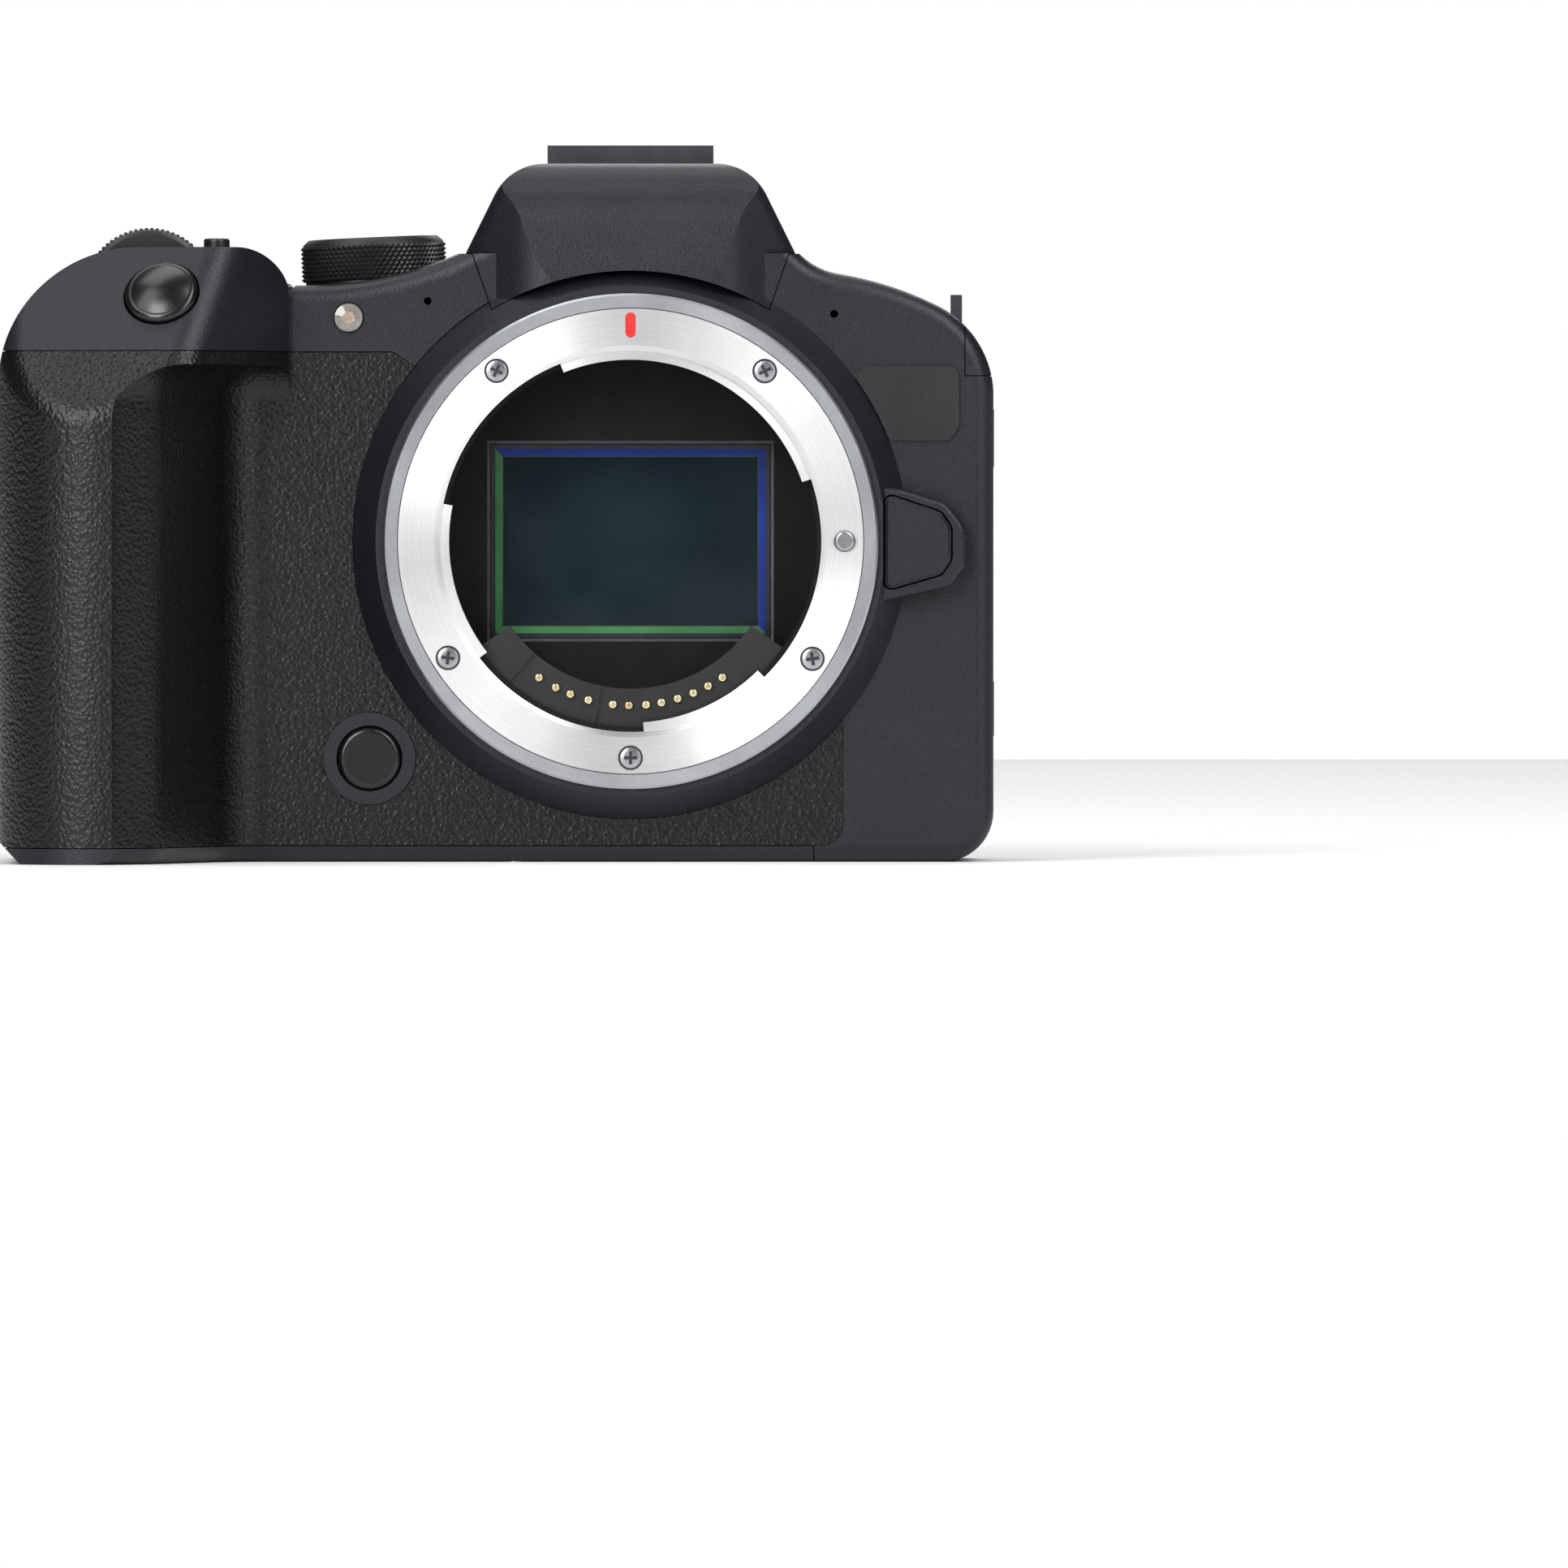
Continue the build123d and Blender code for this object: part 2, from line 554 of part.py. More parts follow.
def mount_bezel():
    inner = MOUNT_OUTER_R + 0.12
    return about_lens_axis((inner, SEAT_Y), (BEZEL_R, SEAT_Y), (BEZEL_R, FLANGE_Y + 0.4), (BEZEL_R - 0.3, FLANGE_Y + 0.1),
                           (inner, FLANGE_Y + 0.1))


def light_baffle():
    outer = BORE_R - 0.1
    inner = outer - 1.4
    tube = about_lens_axis((inner, SEAT_Y + 0.1), (outer, SEAT_Y + 0.1), (outer, -4.4), (0, -4.4), (0, -5.4),
                           (inner, -5.4))
    return tube - gate(-10, 0)


def gate(y0, y1):
    return block((-GATE_W / 2, GATE_W / 2), (y0, y1), (AXIS_Z - GATE_H / 2, AXIS_Z + GATE_H / 2))


def contact_block():
    solid = sector(20.5, BORE_R - 1.53, 215, 325, -14.0, -8.0)
    for angle in (230.0, 259.5):
        x, z = lens_polar(CONTACT_R, angle)
        groove = Pos(x, -14.0, z) * Rot(0, -angle, 0) * Box(8, 0.6, 0.5)
        solid -= groove
    for angle in CONTACT_ANGLES:
        solid -= rod_y(*lens_polar(CONTACT_R, angle), 0.62, -20, -12)
    return solid


def contact_pins():
    pins = [rod_y(*lens_polar(CONTACT_R, angle), 0.6, -14.9, -12) for angle in CONTACT_ANGLES]
    return Compound([fillet(pin.faces().sort_by(Axis.Y)[0].edges(), 0.3) for pin in pins])


def lens_lock_pin():
    pin = rod_y(LOCK_PIN_X, AXIS_Z, LOCK_PIN_R, -18.9, -12.5)
    return fillet(pin.faces().sort_by(Axis.Y)[0].edges(), 0.4)


def lens_release_button():
    cap = along_y(release_outline(), -17.1, -14.5)
    cap = chamfer(cap.faces().sort_by(Axis.Y)[0].edges(), 0.45)
    return cap + rod_y(40, AXIS_Z, 1.2, -14.5, -10.8)


def shutter_frame():
    z0 = AXIS_Z - GATE_H / 2 - BLADE_H
    z1 = AXIS_Z + GATE_H / 2
    solid = block((-25, 25), (-4.3, -0.4), (z0 - 2.8, z1 + 2.6))
    return solid - block((-21.2, 21.2), (-3.6, -1.1), (z0 - 0.8, z1 + 0.8)) - gate(-10, 5)


def shutter_blade(index):
    bottom = AXIS_Z - GATE_H / 2 - BLADE_H - 0.4
    y = BLADE_YS[index]
    return block((-20.9, 20.9), (y, y + 0.25), (bottom, bottom + BLADE_H))


def on_sensor(half_width, half_height, y0, y1):
    return block((-half_width, half_width), (y0, y1), (AXIS_Z - half_height, AXIS_Z + half_height))


def sensor_chip():
    return on_sensor(19.5, 13.5, SENSOR_Y, SENSOR_Y + 1.4)


def sensor_carrier():
    rim = on_sensor(21.5, 15.5, SENSOR_Y - 0.8, SENSOR_Y + 1.4) - on_sensor(19.6, 13.6, 0, 5)
    return rim + on_sensor(26, 18, SENSOR_Y + 1.4, SENSOR_Y + 3.0)


def sensor_shift_stage():
    return on_sensor(28.5, 20.5, 5.5, 7.0) - on_sensor(15, 10, 5, 8)


def chassis_frame():
    front = block((-46, 46), (-10.2, -8.6), (4, 66)) + block((-40, 36), (-10.2, -8.6), (66, 74))
    front -= rod_y(0, AXIS_Z, BORE_R + 0.2, -12, 0)
    rear = block((-46, 46), (7.5, 8.9), (4, 72)) - on_sensor(18, 12, 5, 10)
    sides = block((-46, -44.5), (-8.6, 7.5), (4, 72)) + block((44.5, 46), (-8.6, 7.5), (4, 66))
    foot = block((-30, 30), (-8.6, 7.5), (4.0, 5.4)) - rod_z(0, 0, 6.05, 3, 8)
    frame = front + rear + sides + foot
    for x, z in (PREVIEW_AT, (40, AXIS_Z)):
        frame -= rod_y(x, z, 2.5, -12, -5)
    frame -= rod_y(*PREVIEW_AT, 7.0, -12, -6.8)
    return frame


def main_board():
    board = block((-40, 40), (10.4, 11.8), (8, 62))
    chips = [(-12, 44, 9, 1.6), (10, 40, 7, 1.4), (-24, 22, 5, 1.2), (22, 20, 6, 1.8), (26, 50, 4, 1.2)]
    for x, z, half, height in chips:
        board += block((x - half, x + half), (11.8, 11.8 + height), (z - half, z + half))
    return board


# Power and storage

def battery():
    pack = block((-83.4, -62.6), (-23.6, 14.6), (3.0, 59.8))
    return fillet(pack.edges().filter_by(Axis.Z), 1.5)


def card_slot_unit():
    unit = block((-84.2, -51), (14.9, 20.1), (20, 47))
    return unit - memory_card(0, 0.1) - memory_card(1, 0.1)


def memory_card(index, gap=0.0):
    y = 15.25 + 2.4 * index
    x = (-84.6 - gap * 20, -53 + gap)
    return block(x, (y - gap, y + 2.1 + gap), (21.5 - gap, 45.5 + gap))


def memory_cards():
    return Compound([memory_card(0), memory_card(1)])


def card_door():
    x, y = CARD_AXIS
    z0, z1 = CARD_DOOR_Z
    slab = block((GRIP_X, GRIP_X + WALL), (CARD_DOOR_Y + 0.15, y), (z0 + 0.15, z1 - 0.15))
    knuckle = rod_z(x, y, WALL / 2, z0 + 0.15, z1 - 0.15)
    return slab + knuckle + rod_z(x, y, DOOR_PIN_R, z0 - 1.2, z1 + 1.2)


def battery_door():
    y, z = BATTERY_AXIS
    x0, x1 = BATTERY_DOOR_X
    slab = block((x0 + 0.15, x1 - 0.15), (BATTERY_DOOR_Y + 0.15, y), (0, WALL))
    knuckle = rod_x(y, z, WALL / 2, x0 + 0.15, x1 - 0.15)
    return slab + knuckle + rod_x(y, z, DOOR_PIN_R, x0 - 1.0, x1 + 1.2)


def terminal_cover(name):
    low, high = TERMINAL_SPANS[name]
    y0, y1 = TERMINAL_Y
    flap = block((FAR_X - 1.25, FAR_X), (y0 + 0.15, y1 - 0.15), (low + 0.15, high - 0.15))
    return flap + block((FAR_X, FAR_X + 0.3), (y0 + 9, y1 - 0.6), TERMINAL_LIPS[name])


def terminal_sockets():
    sockets = []
    for z in (49.0, 58.0):
        barrel = rod_x(1, z, 3.2, 47, 48.2) + rod_x(1, z, 3.2, 46.3, 47) + rod_x(1, z, 2.2, 48.2, 49.2)
        sockets.append(barrel - rod_x(1, z, 1.75, 46.8, 50))
    for z in (20.0, 31.0):
        shell = block((46.3, 48.2), (-1.8, 3.8), (z - 5.5, z + 5.5)) + block((48.2, 49.2), (-1.2, 3.2), (z - 4.9, z + 4.9))
        sockets.append(shell - block((46.8, 50), (-0.6, 2.6), (z - 4.3, z + 4.3)))
    return Compound(sockets)


# Viewfinder and outside fittings

def eyepiece_frame():
    body = along_y(rounded_panel((-15.4, 15.4), (66.1, 85.9), 5), 30.5, 37)
    return body - along_y(rounded_panel((-12, 12), (68.5, 83.5), 3), 25, 40)


def eyepiece_lens():
    lens = along_y(rounded_panel((-11.95, 11.95), (68.55, 83.45), 3), 32, 34.6)
    return fillet(lens.faces().sort_by(Axis.Y)[-1].edges(), 0.8)


def eyecup():
    outer = along_y(rounded_panel((-18.6, 18.6), (62.9, 89.4), 7), HOUSING_REAR_Y + 0.1, 45)
    outer = fillet(outer.faces().sort_by(Axis.Y)[-1].edges(), 2)
    bore = along_y(rounded_panel((-15.45, 15.45), (66.05, 85.95), 5), 30, 37.05)
    mouth = along_y(rounded_panel((-13.8, 13.8), (66.6, 85.4), 5), 36, 50)
    return outer - bore - mouth


def hot_shoe():
    body = block((-11.6, 11.6), (3.0, 23.0), (96.2, 99.9))
    slot = block((-9.35, 9.35), (4.6, 30), (96.95, 99.0))
    throat = block((-6.3, 6.3), (4.6, 30), (98, 110))
    return body - slot - throat


def strap_lugs():
    far = block((44.8, 46.3), (1, 9), (72.3, 79)) - block((40, 50), (2.2, 7.8), (76.2, 78.0))
    near = block((-84.6, -83.1), (8, 16), (66, 76.6)) - block((-90, -80), (9.2, 14.8), (73.8, 75.6))
    return Compound([far, near])


def af_lamp():
    lamp = rod_y(*LAMP_AT, 2.1, FACE_Y - 0.3, -10.3)
    return fillet(lamp.faces().sort_by(Axis.Y)[0].edges(), 0.25)


def tripod_socket():
    body = rod_z(0, 0, 6.0, 0, 8.5) + rod_z(0, 0, 9.0, 2.3, 3.9)
    return body - rod_z(0, 0, 3.175, -1, 7.0)


# Controls

def preview_button():
    head = rod_y(*PREVIEW_AT, 4.35, FACE_Y - 0.9, FACE_Y + 1.2)
    head = fillet(head.faces().sort_by(Axis.Y)[0].edges(), 0.8)
    return head + rod_y(*PREVIEW_AT, 1.2, FACE_Y + 1.2, FACE_Y + 3.4)


def shutter_button():
    plane = shutter_plane()
    head = peg(plane, SHUTTER_R, -1.3, 1.0)
    top = head.faces().sort_by(Axis(plane.origin, plane.z_dir))[-1]
    return fillet(top.edges(), 0.9) + peg(plane, 1.2, -5.2, -1.3)


def main_dial():
    x, y, z = MAIN_DIAL_AT
    wheel = rod_y(x, z, MAIN_DIAL_R, y - 3.0, y + 3.0)
    wheel = chamfer(wheel.edges().filter_by(GeomType.CIRCLE), 0.5)
    return wheel + rod_y(x, z, 1.2, y - 5.6, y + 5.6)


def mode_dial():
    cap = peg(MODE_PLANE, MODE_DIAL_R, 0.3, 6.8)
    top = cap.faces().sort_by(Axis(MODE_PLANE.origin, MODE_PLANE.z_dir))[-1]
    return chamfer(top.edges(), 0.8) + peg(MODE_PLANE, 2.0, -4, 0.3)


def top_dial():
    plane = on_deck(*TOP_DIAL_AT)
    cap = peg(plane, TOP_DIAL_R, -0.9, 4.2)
    return chamfer(cap.faces().sort_by(Axis.Z)[-1].edges(), 0.6) + peg(plane, 1.5, -4.5, -0.9)


def power_switch():
    plane = on_deck(*POWER_AT)
    cap = peg(plane, POWER_R, -0.7, 2.2)
    cap = chamfer(cap.faces().sort_by(Axis.Z)[-1].edges(), 0.5)
    x, y = POWER_AT
    lever = block((x - 1.1, x + 1.1), (y - 4.6, y + 3.0), (DECK_Z + 2.0, DECK_Z + 4.4))
    return cap + fillet(lever.edges().filter_by(Axis.Z), 0.9) + peg(plane, 1.5, -4.5, -0.7)


def rear_wheel():
    plane = on_rear(*WHEEL_AT)
    ring = peg(plane, WHEEL_R, -1.1, 2.2)
    ring = chamfer(ring.faces().sort_by(Axis.Y)[-1].edges(), 0.7)
    return ring - peg(plane, SET_R + FIT, -5, 10)


def set_button():
    plane = on_rear(*WHEEL_AT)
    head = peg(plane, SET_R, -0.6, 2.0)
    return fillet(head.faces().sort_by(Axis.Y)[-1].edges(), 0.5)


def joystick():
    plane = on_rear(*JOYSTICK_AT)
    stick = peg(plane, 1.3, -3.6, 1.6) + peg(plane, 3.9, 1.6, 3.4)
    return fillet(stick.faces().sort_by(Axis.Y)[-1].edges(), 0.6)


# Screen

def lcd_hinge():
    x, y = SCREEN_AXIS
    barrel = rod_z(x, y, 2.9, HINGE_Z - 10, HINGE_Z + 10) + rod_z(x, y, 1.0, HINGE_Z - 12.5, HINGE_Z + 12.5)
    return barrel + rod_x(y, HINGE_Z, 2.2, 36.5, x)


def lcd_panel():
    panel = along_y(rounded_panel(SCREEN_X, SCREEN_Z, 2.5), *SCREEN_Y)
    panel = fillet(panel.faces().sort_by(Axis.Y)[-1].edges(), 0.8)
    glass = along_y(rounded_panel((-27.5, 41.5), (7.5, 55.5), 1.0), SCREEN_Y[1] - 0.3, 40)
    return panel - glass - rod_x(SCREEN_AXIS[1], HINGE_Z, 2.25, 36, 60)


def parts():
    built = {
        "front_cover": front_cover(),
        "rear_cover": rear_cover(),
        "top_cover": top_cover(),
        "shoulder_cover": shoulder_cover(),
        "viewfinder_cover": viewfinder_cover(),
        "base_plate": base_plate(),
        "grip_leather": grip_leather(),
        "thumb_rubber": thumb_rubber(),
        "badge_plate": badge_plate(),
        "lens_mount_ring": lens_mount_ring(),
        "mount_screws": mount_screws(),
        "mount_bezel": mount_bezel(),
        "light_baffle": light_baffle(),
        "contact_block": contact_block(),
        "contact_pins": contact_pins(),
        "lens_lock_pin": lens_lock_pin(),
        "lens_release_button": lens_release_button(),
        "shutter_frame": shutter_frame(),
        "sensor_chip": sensor_chip(),
        "sensor_carrier": sensor_carrier(),
        "sensor_shift_stage": sensor_shift_stage(),
        "chassis_frame": chassis_frame(),
        "main_board": main_board(),
        "battery": battery(),
        "card_slot_unit": card_slot_unit(),
        "memory_cards": memory_cards(),
        "card_door": card_door(),
        "battery_door": battery_door(),
        "terminal_sockets": terminal_sockets(),
        "eyepiece_frame": eyepiece_frame(),
        "eyepiece_lens": eyepiece_lens(),
        "eyecup": eyecup(),
        "hot_shoe": hot_shoe(),
        "strap_lugs": strap_lugs(),
        "af_lamp": af_lamp(),
        "tripod_socket": tripod_socket(),
        "preview_button": preview_button(),
        "shutter_button": shutter_button(),
        "function_button": key(*FUNCTION_KEY, 1.3, 0.4),
        "movie_button": key(*MOVIE_KEY, 0.8, 0.4),
        "main_dial": main_dial(),
        "mode_dial": mode_dial(),
        "top_dial": top_dial(),
        "power_switch": power_switch(),
        "rear_wheel": rear_wheel(),
        "set_button": set_button(),
        "joystick": joystick(),
        "lcd_hinge": lcd_hinge(),
        "lcd_panel": lcd_panel(),
    }
    for index in range(3):
        built[f"shutter_blade_{index + 1}"] = shutter_blade(index)
    for name, (x, z, radius) in REAR_KEYS.items():
        built[name] = key(on_rear(x, z), radius, 0.8, 0.4)
    for name in TERMINAL_SPANS:
        built[name] = terminal_cover(name)
    return built


os.makedirs("parts", exist_ok=True)
for name, shape in parts().items():
    export_step(shape, f"parts/{name}.step")
    print(name, round(shape.volume, 2))
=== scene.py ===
import json
import math

import bmesh
import bpy
from mathutils import Matrix, Vector


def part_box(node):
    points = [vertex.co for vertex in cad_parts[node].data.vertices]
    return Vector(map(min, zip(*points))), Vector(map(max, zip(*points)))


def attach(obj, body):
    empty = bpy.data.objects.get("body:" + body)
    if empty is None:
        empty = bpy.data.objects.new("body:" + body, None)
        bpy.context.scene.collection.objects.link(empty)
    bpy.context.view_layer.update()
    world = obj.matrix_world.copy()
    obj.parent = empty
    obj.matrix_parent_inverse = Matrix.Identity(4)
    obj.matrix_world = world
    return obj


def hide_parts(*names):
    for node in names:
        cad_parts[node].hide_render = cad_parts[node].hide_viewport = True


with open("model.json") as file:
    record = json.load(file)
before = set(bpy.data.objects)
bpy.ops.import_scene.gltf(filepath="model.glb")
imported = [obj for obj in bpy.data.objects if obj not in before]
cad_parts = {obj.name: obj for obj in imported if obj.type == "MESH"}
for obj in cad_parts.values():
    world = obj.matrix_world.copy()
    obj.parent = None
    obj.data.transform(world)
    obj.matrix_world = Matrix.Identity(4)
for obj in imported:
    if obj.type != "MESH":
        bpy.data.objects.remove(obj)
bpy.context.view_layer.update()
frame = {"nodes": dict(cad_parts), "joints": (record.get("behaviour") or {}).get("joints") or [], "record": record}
mm = 0.001
yAxis = Vector((0, 1, 0))
zAxis = Vector((0, 0, 1))


def middleOf(node):
    low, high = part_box(node)
    return (low + high) / 2


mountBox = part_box("mount_bezel")
lensCentre = middleOf("mount_bezel")  # on the lens axis

print("frame loaded, lens axis at", [round(value / mm, 1) for value in lensCentre])


def linear(hexColour):
    channels = [int(hexColour[start:start + 2], 16) / 255 for start in (1, 3, 5)]
    return [c / 12.92 if c <= 0.04045 else ((c + 0.055) / 1.055) ** 2.4 for c in channels] + [1]


def addNode(tree, kind, settings=None, links=None):
    node = tree.nodes.new(kind)
    for name, value in (settings or {}).items():
        if name == "stops":  # a colour ramp's positions and colours
            for element, (position, colour) in zip(node.color_ramp.elements, value):
                element.position = position
                element.color = linear(colour)
        elif isinstance(name, int) or name in node.inputs:
            node.inputs[name].default_value = value
        else:
            setattr(node, name, value)
    for name, source in (links or {}).items():
        tree.links.new(source, node.inputs[name])
    return node


def startMaterial(name, settings):
    material = bpy.data.materials.new(name)
    material.use_nodes = True
    tree = material.node_tree
    tree.nodes.clear()
    shader = addNode(tree, "ShaderNodeBsdfPrincipled", settings)
    addNode(tree, "ShaderNodeOutputMaterial", links={"Surface": shader.outputs["BSDF"]})
    place = addNode(tree, "ShaderNodeTexCoord").outputs["Object"]
    return material, tree, shader, place


def driveShader(tree, shader, colours, gloss, relief=None):
    tree.links.new(colours.outputs["Color"], shader.inputs["Base Color"])
    tree.links.new(gloss.outputs[0], shader.inputs["Roughness"])
    if relief:
        tree.links.new(relief.outputs["Normal"], shader.inputs["Normal"])


def grainedFinish(name, look):
    # a moulded, painted or cast surface: broad colour drift, fine grain in bump and roughness
    # sizes and relief are in mm; a real grain under 0.2 mm is drawn at 0.2 mm or more, so that it shows
    material, tree, shader, place = startMaterial(name, look.get("shader", {}))
    drift = addNode(tree, "ShaderNodeTexNoise",
                    {"Scale": 1 / (look["driftSize"] * mm), "Detail": 3.0, "Roughness": 0.55},
                    {"Vector": place})
    grain = addNode(tree, "ShaderNodeTexNoise",
                    {"Scale": 1 / (look["grainSize"] * mm), "Detail": 2.0, "Roughness": 0.6}, {"Vector": place})
    both = addNode(tree, "ShaderNodeMix", {"data_type": "FLOAT", 0: look.get("grainShare", 0.35)},
                   {2: drift.outputs["Fac"], 3: grain.outputs["Fac"]})
    colours = addNode(tree, "ShaderNodeValToRGB", {"stops": ((0.3, look["dark"]), (0.7, look["light"]))},
                      {"Fac": both.outputs[0]})
    low, high = look["roughness"]
    gloss = addNode(tree, "ShaderNodeMapRange",
                    {"From Min": 0.3, "From Max": 0.7, "To Min": low, "To Max": high},
                    {"Value": both.outputs[0]})
    relief = addNode(tree, "ShaderNodeBump", {"Strength": 1.0, "Distance": look["relief"] * mm},
                     {"Height": grain.outputs["Fac"]})
    driveShader(tree, shader, colours, gloss, relief)
    return material


# magnesium alloy casting, sprayed with a fine matt texture paint: soft broad highlights, a sandy grain
paintedMagnesium = grainedFinish("paintedMagnesium", {
    "dark": "#101217", "light": "#191b22", "driftSize": 18, "grainSize": 0.3, "grainShare": 0.65,
    "roughness": (0.36, 0.46), "relief": 0.06, "shader": {"IOR": 1.45},
})
# synthetic rubber sleeve, moulded: softer and blacker than the paint
mouldedRubber = grainedFinish("mouldedRubber", {
    "dark": "#101011", "light": "#171718", "driftSize": 12, "grainSize": 0.4,
    "roughness": (0.66, 0.82), "relief": 0.03,
    "shader": {"IOR": 1.52, "Sheen Weight": 0.12, "Sheen Roughness": 0.5},
})
# ABS, spark-eroded mould finish
blackPlastic = grainedFinish("blackPlastic", {
    "dark": "#111113", "light": "#18181a", "driftSize": 9, "grainSize": 0.3,
    "roughness": (0.34, 0.46), "relief": 0.02, "shader": {"IOR": 1.53},
})
# ABS from a polished mould: nearly smooth, small clear highlights
glossPlastic = grainedFinish("glossPlastic", {
    "dark": "#0b0b0c", "light": "#111113", "driftSize": 7, "grainSize": 0.5,
    "roughness": (0.2, 0.3), "relief": 0.006, "shader": {"IOR": 1.53},
})
# dull black flocked light trap behind the mount: swallows nearly all light; also used on the strip inside the hump
# that is painted shade behind its seams
lightTrap = grainedFinish("lightTrap", {
    "dark": "#070707", "light": "#0d0d0e", "driftSize": 4, "grainSize": 0.3,
    "roughness": (0.8, 0.95), "relief": 0.03, "shader": {"IOR": 1.4},
})
# aluminium, anodised clear and satin blasted: an even cool grey
anodisedAluminium = grainedFinish("anodisedAluminium", {
    "dark": "#adafb5", "light": "#c2c4c9", "driftSize": 14, "grainSize": 0.3,
    "roughness": (0.3, 0.4), "relief": 0.008, "shader": {"Metallic": 1.0},
})
# stainless steel screws, machined and passivated
steelScrew = grainedFinish("steelScrew", {
    "dark": "#9b9c9f", "light": "#bdbec1", "driftSize": 3, "grainSize": 0.2,
    "roughness": (0.24, 0.36), "relief": 0.008, "shader": {"Metallic": 1.0},
})
# pressed steel rails and lugs, blackened by heat and oil; the same dark steel is painted into the mount screws'
# slots and round their heads as painted shade
blackenedSteelAndShade = grainedFinish("blackenedSteelAndShade", {
    "dark": "#3c3d42", "light": "#4c4d52", "driftSize": 6, "grainSize": 0.3,
    "roughness": (0.4, 0.52), "relief": 0.01, "shader": {"Metallic": 0.6},
})
# bare die-cast magnesium alloy of the inner frame
chassisAlloy = grainedFinish("chassisAlloy", {
    "dark": "#55565a", "light": "#6d6e72", "driftSize": 8, "grainSize": 0.5,
    "roughness": (0.45, 0.6), "relief": 0.03, "shader": {"Metallic": 0.9},
})
# gold flash over nickel on the contacts
goldContact = grainedFinish("goldContact", {
    "dark": "#d9c48c", "light": "#f1e4bd", "driftSize": 2, "grainSize": 0.2,
    "roughness": (0.22, 0.34), "relief": 0.004, "shader": {"Metallic": 1.0},
})
# epoxy glass board under solder mask
circuitBoard = grainedFinish("circuitBoard", {
    "dark": "#123a2a", "light": "#1b4d38", "driftSize": 6, "grainSize": 0.4,
    "roughness": (0.35, 0.5), "relief": 0.02, "shader": {"IOR": 1.55},
})
# thin spring steel blades, blackened
bladeMetal = grainedFinish("bladeMetal", {
    "dark": "#1d1d1f", "light": "#29292b", "driftSize": 10, "grainSize": 0.3,
    "roughness": (0.35, 0.5), "relief": 0.006, "shader": {"Metallic": 0.8},
})
# polycarbonate battery case
batteryCase = grainedFinish("batteryCase", {
    "dark": "#2b2c30", "light": "#35363b", "driftSize": 10, "grainSize": 0.35,
    "roughness": (0.4, 0.55), "relief": 0.02, "shader": {"IOR": 1.58},
})
# pad-printed ink on the markings: matt off-white
printedInk = grainedFinish("printedInk", {
    "dark": "#c9c9c6", "light": "#dededb", "driftSize": 2, "grainSize": 0.2,
    "roughness": (0.45, 0.6), "relief": 0.006, "shader": {"IOR": 1.48},
})
# red enamel filled into the index groove
indexEnamel = grainedFinish("indexEnamel", {
    "dark": "#c01c1c", "light": "#d93a33", "driftSize": 1.2, "grainSize": 0.2,
    "roughness": (0.25, 0.38), "relief": 0.006, "shader": {"IOR": 1.5},
})


def pebbledCovering(look):
    # moulded leather-grain rubber sheet: small uneven pebbles parted by fine creases; the creases are painted
    # darker than the pebbles, a painted shade
    material, tree, shader, place = startMaterial("leatherette", {
        "IOR": 1.5, "Specular IOR Level": look["specular"],
    })
    wander = addNode(tree, "ShaderNodeTexNoise", {"Scale": 1 / (look["wanderSize"] * mm), "Detail": 2.0},
                     {"Vector": place})
    shift = addNode(tree, "ShaderNodeVectorMath", {"operation": "SCALE", "Scale": look["wander"] * mm},
                    {0: wander.outputs["Color"]})
    moved = addNode(tree, "ShaderNodeVectorMath", {"operation": "ADD"}, {0: place, 1: shift.outputs[0]})
    pebbles = addNode(tree, "ShaderNodeTexVoronoi",
                      {"feature": "SMOOTH_F1", "Scale": 1 / (look["pebbleSize"] * mm), "Smoothness": 0.35,
                       "Randomness": 0.95},
                      {"Vector": moved.outputs[0]})
    folds = addNode(tree, "ShaderNodeTexNoise",
                    {"Scale": 1 / (look["foldSize"] * mm), "Detail": 3.0, "Roughness": 0.6},
                    {"Vector": moved.outputs[0]})
    height = addNode(tree, "ShaderNodeMix", {"data_type": "FLOAT", 0: look["foldShare"]},
                     {2: pebbles.outputs["Distance"], 3: folds.outputs["Fac"]})
    # painted shade: the creases take the darker colour
    colours = addNode(tree, "ShaderNodeValToRGB", {"stops": ((0.25, look["pebble"]), (0.75, look["creaseShade"]))},
                      {"Fac": height.outputs[0]})
    low, high = look["roughness"]
    gloss = addNode(tree, "ShaderNodeMapRange",
                    {"From Min": 0.2, "From Max": 0.8, "To Min": low, "To Max": high},
                    {"Value": height.outputs[0]})
    relief = addNode(tree, "ShaderNodeBump", {"Strength": 1.0, "Distance": look["relief"] * mm, "invert": True},
                     {"Height": height.outputs[0]})
    driveShader(tree, shader, colours, gloss, relief)
    return material


leatherette = pebbledCovering({
    "pebble": "#0b0b0c", "creaseShade": "#040404", "pebbleSize": 0.62, "foldSize": 0.35, "foldShare": 0.4,
    "wanderSize": 0.9, "wander": 0.35, "relief": 0.16, "roughness": (0.24, 0.38),
    "specular": 0.4,  # a dull sheet: the creases swallow some of the gloss
})


